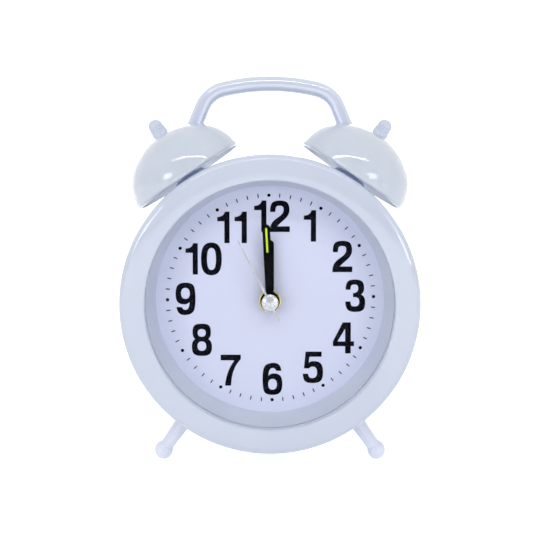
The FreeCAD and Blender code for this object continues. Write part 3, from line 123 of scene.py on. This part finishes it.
class Tree:
    """A node tree with short calls for adding nodes and joining them up."""

    def __init__(self, tree):
        self.tree = tree
        self.column = 0

    def add(self, kind, values=None, **settings):
        node = self.tree.nodes.new(kind)
        node.location = (self.column, 0)
        self.column += 180
        for name, value in settings.items():
            setattr(node, name, value)
        for name, value in (values or {}).items():
            self.feed(node.inputs[name], value)
        return node

    def place(self):
        """The place on the piece, in metres of the shared frame."""
        return self.add("ShaderNodeTexCoord").outputs["Object"]

    def feed(self, socket, value):
        if isinstance(value, bpy.types.NodeSocket):
            self.tree.links.new(value, socket)
        else:
            socket.default_value = value

    def maths(self, operation, first, second=0.0, third=0.0):
        node = self.add("ShaderNodeMath", operation=operation)
        for socket, value in zip(node.inputs, (first, second, third)):
            self.feed(socket, value)
        return node.outputs[0]

    def vector_maths(self, operation, first, second=(0.0, 0.0, 0.0)):
        node = self.add("ShaderNodeVectorMath", operation=operation)
        self.feed(node.inputs[0], first)
        self.feed(node.inputs[1], second)
        return node.outputs["Value"] if operation == "LENGTH" else node.outputs["Vector"]

    def blend(self, amount, first, second):
        node = self.add("ShaderNodeMix", data_type="RGBA")
        self.feed(node.inputs["Factor"], amount)
        self.feed(node.inputs[6], first)
        self.feed(node.inputs[7], second)
        return node.outputs[2]

    def spread(self, value, low, high, new_low=0.0, new_high=1.0):
        node = self.add("ShaderNodeMapRange")
        for name, part in zip(
            ("Value", "From Min", "From Max", "To Min", "To Max"),
            (value, low, high, new_low, new_high),
        ):
            self.feed(node.inputs[name], part)
        return node.outputs["Result"]

    def noise(self, place, scale, detail=2.0, roughness=0.5):
        node = self.add(
            "ShaderNodeTexNoise",
            {"Vector": place, "Scale": scale, "Detail": detail, "Roughness": roughness},
        )
        return node.outputs["Fac"]


def new_group(name, second_grey, extra_inputs):
    """An empty effect with named sockets; returns its tree, its inputs and the group."""
    group = bpy.data.node_groups.new(name, "ShaderNodeTree")
    kinds = {"c": "NodeSocketColor", "f": "NodeSocketFloat", "v": "NodeSocketVector"}
    colours = [
        ("Colour", "c", (0.8, 0.8, 0.8, 1)),
        ("Second Colour", "c", (second_grey, second_grey, second_grey, 1)),
    ]
    for socket, kind, value in colours + extra_inputs:
        made = group.interface.new_socket(socket, in_out="INPUT", socket_type=kinds[kind])
        made.default_value = value
    for socket, kind in (("Colour", "c"), ("Roughness", "f"), ("Height", "f")):
        group.interface.new_socket(socket, in_out="OUTPUT", socket_type=kinds[kind])
    tree = Tree(group)
    return tree, tree.add("NodeGroupInput").outputs, group


def close_group(tree, given, shade, roughness, height):
    """Joins an effect's results to its outputs; the shade blends its two colours."""
    mixed = tree.blend(shade, given["Colour"], given["Second Colour"])
    tree.add("NodeGroupOutput", {"Colour": mixed, "Roughness": roughness, "Height": height})


def build_moulded_skin():
    """Moulded plastic: slow colour drift, uneven gloss and a shallow orange peel."""
    tree, given, group = new_group(
        "Moulded Skin",
        0.7,
        [
            ("Patch Scale", "f", 40.0),
            ("Peel Scale", "f", 900.0),
            ("Gloss", "f", 0.25),
            ("Gloss Spread", "f", 0.06),
        ],
    )
    place = tree.place()
    patches = tree.noise(place, given["Patch Scale"], 3.0)
    drift = tree.spread(patches, 0.35, 0.65)
    smears = tree.noise(place, tree.maths("MULTIPLY", given["Patch Scale"], 3.7), 4.0, 0.6)
    smears = tree.spread(smears, 0.3, 0.7)
    gloss = tree.maths("MULTIPLY_ADD", smears, given["Gloss Spread"], given["Gloss"])
    peel = tree.noise(place, given["Peel Scale"], 2.0)
    close_group(tree, given, drift, gloss, peel)
    return group


def build_turned_rings():
    """Fine rings that a lathe leaves round an axis along Y through a given centre."""
    tree, given, group = new_group(
        "Turned Rings",
        0.6,
        [
            ("Centre", "v", (0.0, 0.0, 0.0)),
            ("Rings Per Metre", "f", 4000.0),
            ("Gloss", "f", 0.25),
        ],
    )
    place = tree.place()
    off_axis = tree.vector_maths("SUBTRACT", place, given["Centre"])
    flat = tree.vector_maths("MULTIPLY", off_axis, (1.0, 0.0, 1.0))
    radius = tree.vector_maths("LENGTH", flat)
    wobble = tree.maths("MULTIPLY", tree.noise(place, 300.0), 1.5)
    phase = tree.maths("MULTIPLY_ADD", radius, given["Rings Per Metre"], wobble)
    rings = tree.maths("MULTIPLY_ADD", tree.maths("SINE", phase), 0.5, 0.5)
    stain = tree.spread(tree.noise(place, 220.0, 4.0), 0.35, 0.7)
    shade = tree.maths("MULTIPLY_ADD", rings, 0.3, tree.maths("MULTIPLY", stain, 0.5))
    close_group(tree, given, shade, tree.maths("MULTIPLY_ADD", rings, 0.12, given["Gloss"]), rings)
    return group


def build_drawn_grain():
    """Long fine scratches along one direction, as on drawn wire and stamped strip."""
    tree, given, group = new_group(
        "Drawn Grain",
        0.6,
        [
            ("Squeeze", "v", (400.0, 400.0, 40.0)),
            ("Gloss", "f", 0.3),
            ("Gloss Spread", "f", 0.2),
        ],
    )
    place = tree.place()
    grain = tree.noise(tree.vector_maths("MULTIPLY", place, given["Squeeze"]), 6.0, 5.0, 0.65)
    shade = tree.spread(grain, 0.35, 0.68)
    gloss = tree.maths("MULTIPLY_ADD", shade, given["Gloss Spread"], given["Gloss"])
    close_group(tree, given, shade, gloss, grain)
    return group


def build_specks_and_painted_glints():
    """Small facets scattered over a surface, as in a rolled silver finish; their lighter and darker
    colours are painted glints.
    """
    tree, given, group = new_group(
        "Specks And Painted Glints", 0.5, [("Speck Scale", "f", 2500.0), ("Gloss", "f", 0.2)]
    )
    place = tree.place()
    cells = tree.add("ShaderNodeTexVoronoi", {"Vector": place, "Scale": given["Speck Scale"]})
    tone = tree.add("ShaderNodeSeparateColor", {"Color": cells.outputs["Color"]})
    gloss = tree.maths("MULTIPLY_ADD", tone.outputs["Green"], 0.3, given["Gloss"])
    close_group(tree, given, tone.outputs["Red"], gloss, tone.outputs["Blue"])
    return group


def build_printed_ground():
    """Matt printed card: soft clouds of tint and a faint fibre mottle."""
    tree, given, group = new_group(
        "Printed Ground", 0.7, [("Fibre Scale", "f", 700.0), ("Gloss", "f", 0.6)]
    )
    place = tree.place()
    clouds = tree.spread(tree.noise(place, 25.0, 3.0), 0.3, 0.7)
    fibres = tree.noise(place, given["Fibre Scale"], 4.0, 0.6)
    shade = tree.maths("MULTIPLY_ADD", fibres, 0.4, tree.maths("MULTIPLY", clouds, 0.6))
    close_group(tree, given, shade, tree.maths("MULTIPLY_ADD", fibres, 0.1, given["Gloss"]), fibres)
    return group


MOULDED_SKIN = build_moulded_skin()
TURNED_RINGS = build_turned_rings()
DRAWN_GRAIN = build_drawn_grain()
SPECKS_AND_PAINTED_GLINTS = build_specks_and_painted_glints()
PRINTED_GROUND = build_printed_ground()


def opened(material):
    """A material's tree and its main shader."""
    return Tree(material.node_tree), material.node_tree.nodes["Principled BSDF"]


def new_material(name):
    material = bpy.data.materials.new(name)
    material.use_nodes = True
    return material, *opened(material)


def finish_material(name, effect, effect_values, bump=0.1, depth=0.00002, **shader_values):
    """A material whose colour, roughness and bump come from one of the shared effects."""
    material, tree, shader = new_material(name)
    made = tree.add("ShaderNodeGroup", node_tree=effect)
    for socket, value in effect_values.items():
        tree.feed(made.inputs[socket], value)
    tree.feed(shader.inputs["Base Color"], made.outputs["Colour"])
    tree.feed(shader.inputs["Roughness"], made.outputs["Roughness"])
    relief = tree.add(
        "ShaderNodeBump",
        {"Strength": bump, "Distance": depth, "Height": made.outputs["Height"]},
    )
    tree.feed(shader.inputs["Normal"], relief.outputs["Normal"])
    for socket, value in shader_values.items():
        shader.inputs[socket.replace("_", " ")].default_value = value
    return material


def plastic(name, first, second, gloss, peel_scale=900.0, bump=0.06, patch=40.0, **shader_values):
    values = {
        "Colour": first,
        "Second Colour": second,
        "Patch Scale": patch,
        "Peel Scale": peel_scale,
        "Gloss": gloss,
    }
    return finish_material(name, MOULDED_SKIN, values, bump, **shader_values)


def metal(name, effect, first, second, gloss, bump=0.15, **effect_values):
    values = {"Colour": first, "Second Colour": second, "Gloss": gloss, **effect_values}
    return finish_material(name, effect, values, bump, Metallic=1.0)


def centre_of(node):
    low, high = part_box(node)
    return (low + high) / 2


def lens_material():
    """Clear moulded lens. Light for the dial passes straight through it."""
    material, tree, shader = new_material("clear_lens")
    shader.inputs["Base Color"].default_value = PURE_WHITE
    shader.inputs["Transmission Weight"].default_value = 1.0
    shader.inputs["IOR"].default_value = LENS_INDEX
    place = tree.place()
    smears = tree.noise(place, 45.0, 4.0, 0.6)
    tree.feed(shader.inputs["Roughness"], tree.spread(smears, 0.3, 0.7, 0.0, 0.02))
    rays = tree.add("ShaderNodeLightPath")
    unseen = tree.maths("MAXIMUM", rays.outputs["Is Shadow Ray"], rays.outputs["Is Diffuse Ray"])
    through = tree.add("ShaderNodeBsdfTransparent")
    mixed = tree.add("ShaderNodeMixShader", {"Fac": unseen})
    tree.feed(mixed.inputs[1], shader.outputs["BSDF"])
    tree.feed(mixed.inputs[2], through.outputs["BSDF"])
    tree.feed(material.node_tree.nodes["Material Output"].inputs["Surface"], mixed.outputs[0])
    return material


def coil_material():
    """Enamelled copper wire, wound in turns side by side along the bobbin."""
    material = metal("copper_winding", DRAWN_GRAIN, COPPER, COPPER_DARK, 0.28)
    tree, shader = opened(material)
    place = tree.place()
    turns = tree.add(
        "ShaderNodeTexWave",
        {"Vector": place, "Scale": WIRE_TURNS_SCALE, "Distortion": 0.6},
        bands_direction="Z",
    )
    relief = tree.add(
        "ShaderNodeBump", {"Strength": 0.7, "Distance": 0.0001, "Height": turns.outputs["Fac"]}
    )
    tree.feed(shader.inputs["Normal"], relief.outputs["Normal"])
    return material


def board_material():
    """Green solder mask with paler tracks running under it."""
    material = plastic("solder_mask", BOARD_GREEN, BOARD_GREEN, 0.3)
    tree, shader = opened(material)
    tracks = tree.add("ShaderNodeTexBrick", {"Vector": tree.place(), "Scale": TRACK_SCALE})
    tracks.inputs["Color1"].default_value = BOARD_GREEN
    tracks.inputs["Color2"].default_value = BOARD_TRACE
    tracks.inputs["Mortar"].default_value = BOARD_TRACE
    tree.feed(shader.inputs["Base Color"], tracks.outputs["Color"])
    return material


def cell_material():
    """Plain printed sleeve of the cell: dark body with a gold end, no wording."""
    low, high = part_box("battery")
    material = plastic("cell_sleeve", CELL_DARK, CELL_DARK, 0.22)
    tree, shader = opened(material)
    along = tree.add("ShaderNodeSeparateXYZ", {"Vector": tree.place()}).outputs["X"]
    split = low.x + (high.x - low.x) * CELL_GOLD_FROM
    gold = tree.maths("GREATER_THAN", along, split)
    tree.feed(shader.inputs["Base Color"], tree.blend(gold, CELL_DARK, CELL_GOLD))
    tree.feed(shader.inputs["Metallic"], tree.maths("MULTIPLY", gold, 0.7))
    return material


def luminous_material():
    """Luminous paint, a little grainy, with a faint painted glow (emission) that makes it look
    bright under the lens.
    """
    material = plastic("luminous_paint", LUME_GREEN, LUME_PALE, 0.5, 2500.0, 0.2, 900.0)
    shader = opened(material)[1]
    shader.inputs["Emission Color"].default_value = LUME_GREEN
    shader.inputs["Emission Strength"].default_value = LUME_PAINTED_GLOW
    return material


# Finishes, and the pieces that wear them.

def glossy_white(name, first, second, **shader_values):
    """Polished white moulding, with a clear gloss over a very shallow peel."""
    return plastic(name, first, second, 0.1, 700.0, 0.02, 22.0, **shader_values)


case_white = glossy_white(
    "case_white", WHITE_PLASTIC, WHITE_PLASTIC_COOL, Coat_Weight=0.8, Coat_Roughness=0.03
)
# Painted light: the bells get a lighter copy of the white plastic, which brightens them and their
# shaded hollows.
bell_white_painted_light = glossy_white(
    "bell_white_painted_light", BELL_WHITE_PAINTED_LIGHT, BELL_WHITE_PAINTED_LIGHT_COOL, Coat_Weight=0.7, Coat_Roughness=0.03,
    Subsurface_Weight=1.0, Subsurface_Radius=(1.0, 1.0, 1.0), Subsurface_Scale=0.006,
)
handle_white = glossy_white(
    "handle_white", HANDLE_WHITE, HANDLE_WHITE_COOL,
    Coat_Weight=1.0, Coat_Roughness=0.02, Coat_IOR=2.2,
)
# Painted light: the feet get a lighter copy of the white plastic to make up for the shade under the
# clock.
foot_white_painted_light = glossy_white(
    "foot_white_painted_light", FOOT_WHITE_PAINTED_LIGHT, FOOT_WHITE_PAINTED_LIGHT_COOL, Coat_Weight=0.7, Coat_Roughness=0.03
)
cone_grey = plastic("cone_grey", CONE_GREY, CONE_GREY_DEEP, 0.42, 1400.0, 0.05)
dial_card = finish_material(
    "dial_card", PRINTED_GROUND,
    {"Colour": DIAL_WHITE, "Second Colour": DIAL_SHADE, "Gloss": 0.55}, 0.04,
)
printed_ink = plastic(
    "printed_ink", INK_BLACK, INK_BLUE, 0.42, 3000.0, 0.05, 200.0, Specular_IOR_Level=0.02
)
tick_ink = plastic(
    "tick_ink", INK_BLUE, TICK_BLUE, 0.45, 3000.0, 0.05, 200.0, Specular_IOR_Level=0.02
)
hand_black = plastic(
    "hand_black", HAND_BLACK, HAND_BLACK_WORN, 0.24, 2500.0, 0.08, 300.0, Specular_IOR_Level=0.02
)
back_white = plastic("back_white", BACK_WHITE, BACK_WHITE_COOL, 0.4, 2200.0, 0.18)
knob_white = plastic("knob_white", KNOB_WHITE, KNOB_WHITE_COOL, 0.34, 1800.0, 0.1)
movement_black = plastic("movement_black", MOVEMENT_BLACK, MOVEMENT_BLACK_PALE, 0.45, 2600.0, 0.15)
magnet_grey = plastic("magnet_grey", MAGNET_GREY, MAGNET_DARK, 0.5, 3000.0, 0.2, 400.0)
# The boss's paler and darker cells are painted glints of the silver facets.
silver_specks_and_glints = metal("silver_specks_and_glints", SPECKS_AND_PAINTED_GLINTS, SILVER, SILVER_PALE, 0.16, 0.5)
silver_hand = metal("silver_hand", DRAWN_GRAIN, SILVER, SILVER_DARK, 0.3)
soft_iron = metal("soft_iron", DRAWN_GRAIN, IRON, IRON_DARK, 0.4)
bright_steel = metal("bright_steel", DRAWN_GRAIN, STEEL, STEEL_DARK, 0.25)
spring_nickel = metal("spring_nickel", DRAWN_GRAIN, NICKEL, NICKEL_DARK, 0.26)
rolled_brass = metal("rolled_brass", DRAWN_GRAIN, BRASS, BRASS_DARK, 0.28)

SLOT_FINISHES = {
    "case_paint": case_white,
    "lens": lens_material(),
    "cone_ring": cone_grey,
    "dial": dial_card,
    "back_plastic": back_white,
    "knob_plastic": knob_white,
    "black_hand": hand_black,
    "luminous": luminous_material(),
    "silver_hand": silver_hand,
    "movement_plastic": movement_black,
    "magnet": magnet_grey,
    "soft_iron": soft_iron,
    "coil_wire": coil_material(),
    "board": board_material(),
    "steel": bright_steel,
    "contact_metal": spring_nickel,
    "buzzer_brass": rolled_brass,
    "cell": cell_material(),
}
SLOT_OF_NODE = {row["node"]: row["material_slot"] for row in frame["record"]["subparts"]}
FINISH_OF_NODE = {
    "second_hand_boss": silver_specks_and_glints,
    "handle": handle_white,
    "bell_left": bell_white_painted_light,
    "bell_right": bell_white_painted_light,
    "bell_post_left": bell_white_painted_light,
    "bell_post_right": bell_white_painted_light,
    "foot_left": foot_white_painted_light,
    "foot_right": foot_white_painted_light,
    "rear_foot": foot_white_painted_light,
}


def brass_for(node):
    """Turned brass whose rings run round the piece's own axis."""
    centre = centre_of(node)
    return metal("turned_brass_" + node, TURNED_RINGS, BRASS, BRASS_DARK, 0.22, Centre=centre)


def dress():
    """Gives every CAD node its finish."""
    for name, item in nodes.items():
        slot = SLOT_OF_NODE[name]
        finish = brass_for(name) if slot == "brass" else SLOT_FINISHES[slot]
        finish = FINISH_OF_NODE.get(name, finish)
        for place in item.material_slots:
            place.material = finish


dress()


# Numerals of the dial, drawn 100 units high. A third value marks a pull point off the line.

FIGURE_HEIGHT = 100
SIX_WIDTH = 63.3
ONE = [
    (22.4, 0), (38.9, 0), (38.9, 100), (24, 100), (21, 83.5, 0), (0, 83), (0, 69.4), (22.4, 69.4),
]
TWO = [
    (0, 0), (63, 0), (63, 18), (23, 18), (33, 28), (40, 34, 0), (49, 42.5), (62, 54.5, 0), (62, 71),
    (62, 85, 0), (50, 100, 0), (31.8, 100), (16, 100, 0), (0.7, 88, 0), (0.7, 63.7), (17, 63.7),
    (17.5, 76, 0), (22, 83.5, 0), (30.5, 83.5), (38, 83.5, 0), (43.5, 78, 0), (43.5, 70.5),
    (43.5, 61, 0), (34, 52.5), (28, 48, 0), (20, 42.5), (0, 28, 0), (0, 7),
]
THREE = [
    (0.9, 69.4), (16.5, 69.4), (16.5, 78, 0), (21.5, 86, 0), (29.5, 86), (36, 86, 0), (41.3, 80, 0),
    (41.3, 73), (41.3, 58.7, 0), (24.7, 58.7), (24.7, 45.7), (28, 45.7), (45, 46.5, 0), (44.8, 31),
    (44.8, 23.5, 0), (38.5, 15.8, 0), (31, 15.8), (22, 15.8, 0), (17, 22, 0), (16.8, 31.8),
    (0, 31.4), (0.5, 15, 0), (13, -2, 0), (31.6, -2), (50, -2, 0), (63.7, 11, 0), (63.7, 29),
    (63.7, 47, 0), (50.7, 54.5), (60, 60, 0), (60, 75.5), (60, 89.5, 0), (47.5, 102, 0),
    (30.7, 102), (14, 102, 0), (1.5, 89, 0),
]
FOUR = [
    (39, 0), (57, 0), (57, 23.4), (67.5, 23.4), (67.5, 39), (57, 39), (57, 100), (31.2, 100),
    (0, 39), (0, 23.4), (39, 23.4),
]
FOUR_EYE = [(39, 38.5), (14.5, 38.5), (39, 80)]
FIVE = [
    (9, 100), (60.2, 100), (60.2, 83.5), (21.5, 83.5), (19, 64), (25, 69.3, 0), (35, 69.3),
    (51, 69.3, 0), (65, 53, 0), (65, 34), (65, 13, 0), (50, -2, 0), (31, -2), (14, -2, 0),
    (1, 10, 0), (0, 28.3), (17, 28.3), (18.5, 14.2, 0), (30.5, 14.2), (45.8, 14.2, 0),
    (45.8, 32.5), (45.8, 51.6, 0), (32, 51.6), (24, 51.6, 0), (20.2, 45.7), (3.5, 45.7),
]
SIX = [
    (60.3, 76.3), (58, 102, 0), (36, 102), (17, 102, 0), (0, 84, 0), (0, 50), (0, 15, 0),
    (13, -2, 0), (32, -2), (49, -2, 0), (63.3, 14, 0), (63.3, 34), (63.3, 53, 0), (50, 67.7, 0),
    (35, 67.7), (25, 67.7, 0), (18.9, 59.5), (19.5, 85.4, 0), (33, 85.4), (40, 85.4, 0), (44, 76),
]
SEVEN = [
    (0, 100), (64.4, 100), (64.4, 85.5), (35.3, 58, 0), (33, 0), (13.7, 0), (17.3, 45, 0),
    (43.6, 81.7), (0, 81.7),
]
EIGHT = [
    (10.8, 52.5), (2.5, 58, 0), (2.5, 75), (2.5, 90, 0), (14, 102, 0), (31.7, 102), (49.4, 102, 0),
    (60.9, 90, 0), (60.9, 75), (60.9, 58, 0), (52.6, 52.5), (64.2, 46, 0), (64.2, 28.2),
    (64.2, 11, 0), (51, -2, 0), (32, -2), (13, -2, 0), (0, 11, 0), (0, 28.2), (0, 46, 0),
]


def oval(middle_x, middle_y, half_width, half_height, fullness=0.47):
    """A closed oval of pull points, fuller at the sides than an ellipse."""
    points = []
    for across, up in ((1, 1), (-1, 1), (-1, -1), (1, -1)):
        side = (middle_x + across * half_width, middle_y + up * fullness * half_height, 0)
        cap = (middle_x + across * fullness * half_width, middle_y + up * half_height, 0)
        points += [side, cap] if across * up > 0 else [cap, side]
    return points


def turned_over(points):
    """A figure turned half round, as a nine is a six turned over."""
    return [(SIX_WIDTH - point[0], FIGURE_HEIGHT - point[1], *point[2:]) for point in points]


FIGURES = {
    "0": (66.0, [oval(33, 50, 33, 52.3, 0.52), oval(33.4, 49.7, 14.2, 35.2, 0.52)]),
    "1": (38.9, [ONE]),
    "2": (63.0, [TWO]),
    "3": (63.7, [THREE]),
    "4": (67.5, [FOUR, FOUR_EYE]),
    "5": (65.0, [FIVE]),
    "6": (SIX_WIDTH, [SIX, oval(32, 32.5, 14, 17.6)]),
    "7": (64.4, [SEVEN]),
    "8": (64.2, [EIGHT, oval(31.7, 72.3, 13, 12.4), oval(31.9, 29.6, 14, 15.2)]),
    "9": (SIX_WIDTH, [turned_over(SIX), oval(31.3, 67.5, 14, 17.6)]),
}

# Each numeral with the middle of its box from the hand axis, in millimetres, and its letter gap.
NUMERALS = {
    "12": (0.8, 34.6, 11.0),
    "1": (16.5, 30.6, 0.0),
    "2": (30.0, 17.9, 0.0),
    "3": (35.4, 1.5, 0.0),
    "4": (30.6, -16.2, 0.0),
    "5": (17.9, -28.5, 0.0),
    "6": (1.0, -33.5, 0.0),
    "7": (-16.4, -29.8, 0.0),
    "8": (-28.4, -17.0, 0.0),
    "9": (-35.1, 0.2, 0.0),
    "10": (-27.5, 16.9, 10.0),
    "11": (-15.7, 30.0, 16.0),
}
NUMERAL_UNIT = 0.1305 * MM
INK_DEPTH = 0.05 * MM
CURVE_STEPS = 7
DIAL_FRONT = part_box("dial")[0].y
AXIS_HEIGHT = centre_of("dial").z


def smooth_line(points):
    """The closed line through on-line points, pulled towards the marked points between them."""
    full = []
    for index, point in enumerate(points):
        before = points[index - 1]
        if len(point) == 3 and len(before) == 3:
            full.append(((before[0] + point[0]) / 2, (before[1] + point[1]) / 2))
        full.append(point)
    if len(full[0]) == 3:
        full = full[1:] + full[:1]
    line = []
    count = len(full)
    for index, point in enumerate(full):
        if len(point) == 3:
            start, end = full[index - 1], full[(index + 1) % count]
            for step in range(1, CURVE_STEPS):
                t = step / CURVE_STEPS
                line.append(
                    tuple(
                        (1 - t) ** 2 * start[k] + 2 * t * (1 - t) * point[k] + t * t * end[k]
                        for k in (0, 1)
                    )
                )
        else:
            line.append(point[:2])
    return line


def printed_mesh(name, shapes, finish):
    """One mesh of flat inked shapes lying on the dial, each a list of closed lines in metres."""
    vertices, faces = [], []
    for lines in shapes:
        first = len(vertices)
        flat = [point for line in lines for point in line]
        count = len(flat)
        vertices += [(x, DIAL_FRONT - INK_DEPTH, z) for x, z in flat]
        vertices += [(x, DIAL_FRONT, z) for x, z in flat]
        loops = [[Vector((x, 0, z)) for x, z in line] for line in lines]
        for triangle in tessellate_polygon(loops):
            corners = [Vector((*flat[k], 0)) for k in triangle]
            facing = (corners[1] - corners[0]).cross(corners[2] - corners[0]).z
            faces.append([first + k for k in (triangle if facing > 0 else triangle[::-1])])
        start = first
        for line in lines:
            size = len(line)
            for k in range(size):
                after = (k + 1) % size
                faces.append([start + k, start + after, start + after + count, start + k + count])
            start += size
    mesh = bpy.data.meshes.new(name)
    mesh.from_pydata(vertices, [], faces)
    mesh.materials.append(finish)
    item = bpy.data.objects.new(name, mesh)
    bpy.context.scene.collection.objects.link(item)
    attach(item, "case")


def print_numerals():
    for word, (across, up, gap) in NUMERALS.items():
        width = sum(FIGURES[figure][0] for figure in word) + gap * (len(word) - 1)
        pen = -width / 2
        shapes = []
        for figure in word:
            wide, outlines = FIGURES[figure]
            left = across * MM + pen * NUMERAL_UNIT
            middle = AXIS_HEIGHT + up * MM
            lines = [
                [
                    (left + x * NUMERAL_UNIT, middle + (y - FIGURE_HEIGHT / 2) * NUMERAL_UNIT)
                    for x, y in smooth_line(outline)
                ]
                for outline in outlines
            ]
            shapes.append(lines)
            pen += wide + gap
        printed_mesh("numeral_" + word, shapes, printed_ink)


MINUTE_RING = 42.8 * MM
TICK_HALF_LENGTH = 0.85 * MM
TICK_HALF_WIDTH = 0.22 * MM
TICK_CORNERS = (
    (-1, -0.7), (-0.8, -1), (0.8, -1), (1, -0.7), (1, 0.7), (0.8, 1), (-0.8, 1), (-1, 0.7),
)
DOT_RADIUS = 0.7 * MM
DOT_CORNERS = 24
PRINT_TURN = math.radians(-0.9)
RING_MIDDLE = (0.2 * MM, AXIS_HEIGHT + 0.5 * MM)


def print_minute_ring():
    """Twelve dots and forty-eight ticks round the dial."""
    ticks, dots = [], []
    for minute in range(60):
        angle = math.radians(6 * minute) + PRINT_TURN
        out = (math.sin(angle), math.cos(angle))
        side = (out[1], -out[0])
        if minute % 5:
            corners = []
            for along, across in TICK_CORNERS:
                reach = MINUTE_RING + along * TICK_HALF_LENGTH
                shift = across * TICK_HALF_WIDTH
                corners.append(
                    tuple(RING_MIDDLE[k] + out[k] * reach + side[k] * shift for k in (0, 1))
                )
            ticks.append([corners])
        else:
            across, up = (RING_MIDDLE[k] + out[k] * MINUTE_RING for k in (0, 1))
            turns = [math.radians(360 / DOT_CORNERS * k) for k in range(DOT_CORNERS)]
            ring = [
                (across + DOT_RADIUS * math.cos(turn), up + DOT_RADIUS * math.sin(turn))
                for turn in turns
            ]
            dots.append([ring])
    printed_mesh("minute_ticks", ticks, tick_ink)
    printed_mesh("hour_dots", dots, printed_ink)


print_numerals()
print_minute_ring()


# Floor, light and camera.


ROOM_LEVEL = 0.56
SWEEP_HALF_WIDTH = 3.0
SWEEP_NEAR = -1.5
SWEEP_FAR = 1.6
SWEEP_BEND = 0.5
SWEEP_TOP = 3.0
SWEEP_STEPS = 12
CLOCK_MIDDLE = (0.0, 0.0, 0.08)

# Each soft box with its place, width, height and power, in metres and watts.
SOFT_BOXES = {
    "high_strip": ((0.0, -0.73, 0.87), 1.3, 0.04, 2.7),
    "front_box": ((0.0, -1.15, 0.4), 1.3, 0.7, 1.1),
    "left_box": ((-0.6, -0.72, 0.22), 0.3, 0.2, 0.9),
    "rear_box": ((0.0, 1.3, 0.45), 1.0, 0.6, 4.0),
    "right_box": ((0.6, -0.72, 0.22), 0.3, 0.2, 0.9),
}


def seen_rays(tree):
    """The light path, and 1 for rays that show a surface to the camera or in a reflection."""
    rays = tree.add("ShaderNodeLightPath").outputs
    seen = tree.maths("MAXIMUM", rays["Is Camera Ray"], rays["Is Glossy Ray"])
    return rays, tree.maths("MAXIMUM", seen, rays["Is Transmission Ray"])


def floor_and_backdrop():
    """One pale sheet that lies under the clock and curves up behind it."""
    bend_from = SWEEP_FAR - SWEEP_BEND
    profile = [(SWEEP_NEAR, 0.0), (bend_from, 0.0)]
    for step in range(1, SWEEP_STEPS + 1):
        angle = math.radians(90 * step / SWEEP_STEPS)
        profile.append(
            (bend_from + SWEEP_BEND * math.sin(angle), SWEEP_BEND - SWEEP_BEND * math.cos(angle))
        )
    profile.append((SWEEP_FAR, SWEEP_TOP))
    vertices = [(x, y, z) for y, z in profile for x in (-SWEEP_HALF_WIDTH, SWEEP_HALF_WIDTH)]
    faces = [(2 * k, 2 * k + 1, 2 * k + 3, 2 * k + 2) for k in range(len(profile) - 1)]
    mesh = bpy.data.meshes.new("paper_sweep")
    mesh.from_pydata(vertices, [], faces)
    for face in mesh.polygons:
        face.use_smooth = True
    material, tree, shader = new_material("paper_sweep")
    shader.inputs["Base Color"].default_value = FLOOR
    shader.inputs["Roughness"].default_value = 0.9
    shader.inputs["Specular IOR Level"].default_value = 0.1
    shader.inputs["Emission Color"].default_value = PURE_WHITE
    seen = seen_rays(tree)[1]
    tree.feed(shader.inputs["Emission Strength"], tree.maths("MULTIPLY", seen, ROOM_LEVEL))
    mesh.materials.append(material)
    item = bpy.data.objects.new("paper_sweep", mesh)
    bpy.context.scene.collection.objects.link(item)


def white_room():
    """Soft light from all round, seen as white, with a dimmer room in front of the clock."""
    world = bpy.data.worlds.new("white_room")
    bpy.context.scene.world = world
    world.use_nodes = True
    tree = Tree(world.node_tree)
    rays, seen = seen_rays(tree)
    way = tree.add("ShaderNodeTexCoord").outputs["Generated"]
    depth = tree.add("ShaderNodeSeparateXYZ", {"Vector": way}).outputs["Y"]
    room = tree.spread(depth, -0.95, -0.35, 0.15, 1.0)
    room = tree.maths("MAXIMUM", room, rays["Is Camera Ray"])
    ground = world.node_tree.nodes["Background"]
    ground.inputs["Color"].default_value = PURE_WHITE
    tree.feed(ground.inputs["Strength"], tree.spread(seen, 0.0, 1.0, ROOM_LEVEL, room))


def soft_box(name, place, width, height, power):
    light = bpy.data.lights.new(name, "AREA")
    light.shape = "RECTANGLE"
    light.size = width
    light.size_y = height
    light.energy = power
    item = bpy.data.objects.new(name, light)
    bpy.context.scene.collection.objects.link(item)
    item.location = place
    item.rotation_mode = "QUATERNION"
    item.rotation_quaternion = (Vector(CLOCK_MIDDLE) - Vector(place)).to_track_quat("-Z", "Y")


def photo_camera():
    """The camera looks slightly down at the face."""
    data = bpy.data.cameras.new("front_camera")
    data.sensor_width = 36.0
    data.lens = 47.133
    data.shift_x = -0.0038
    data.shift_y = -0.129
    data.clip_start = 0.01
    item = bpy.data.objects.new("front_camera", data)
    bpy.context.scene.collection.objects.link(item)
    item.location = (0.00084, -0.302, 0.12333)
    item.rotation_euler = (math.radians(90 - 2.776), 0.0, 0.0)
    bpy.context.scene.camera = item


floor_and_backdrop()
white_room()
for box_name, values in SOFT_BOXES.items():
    soft_box(box_name, *values)
photo_camera()
bpy.context.scene.view_settings.view_transform = "Standard"
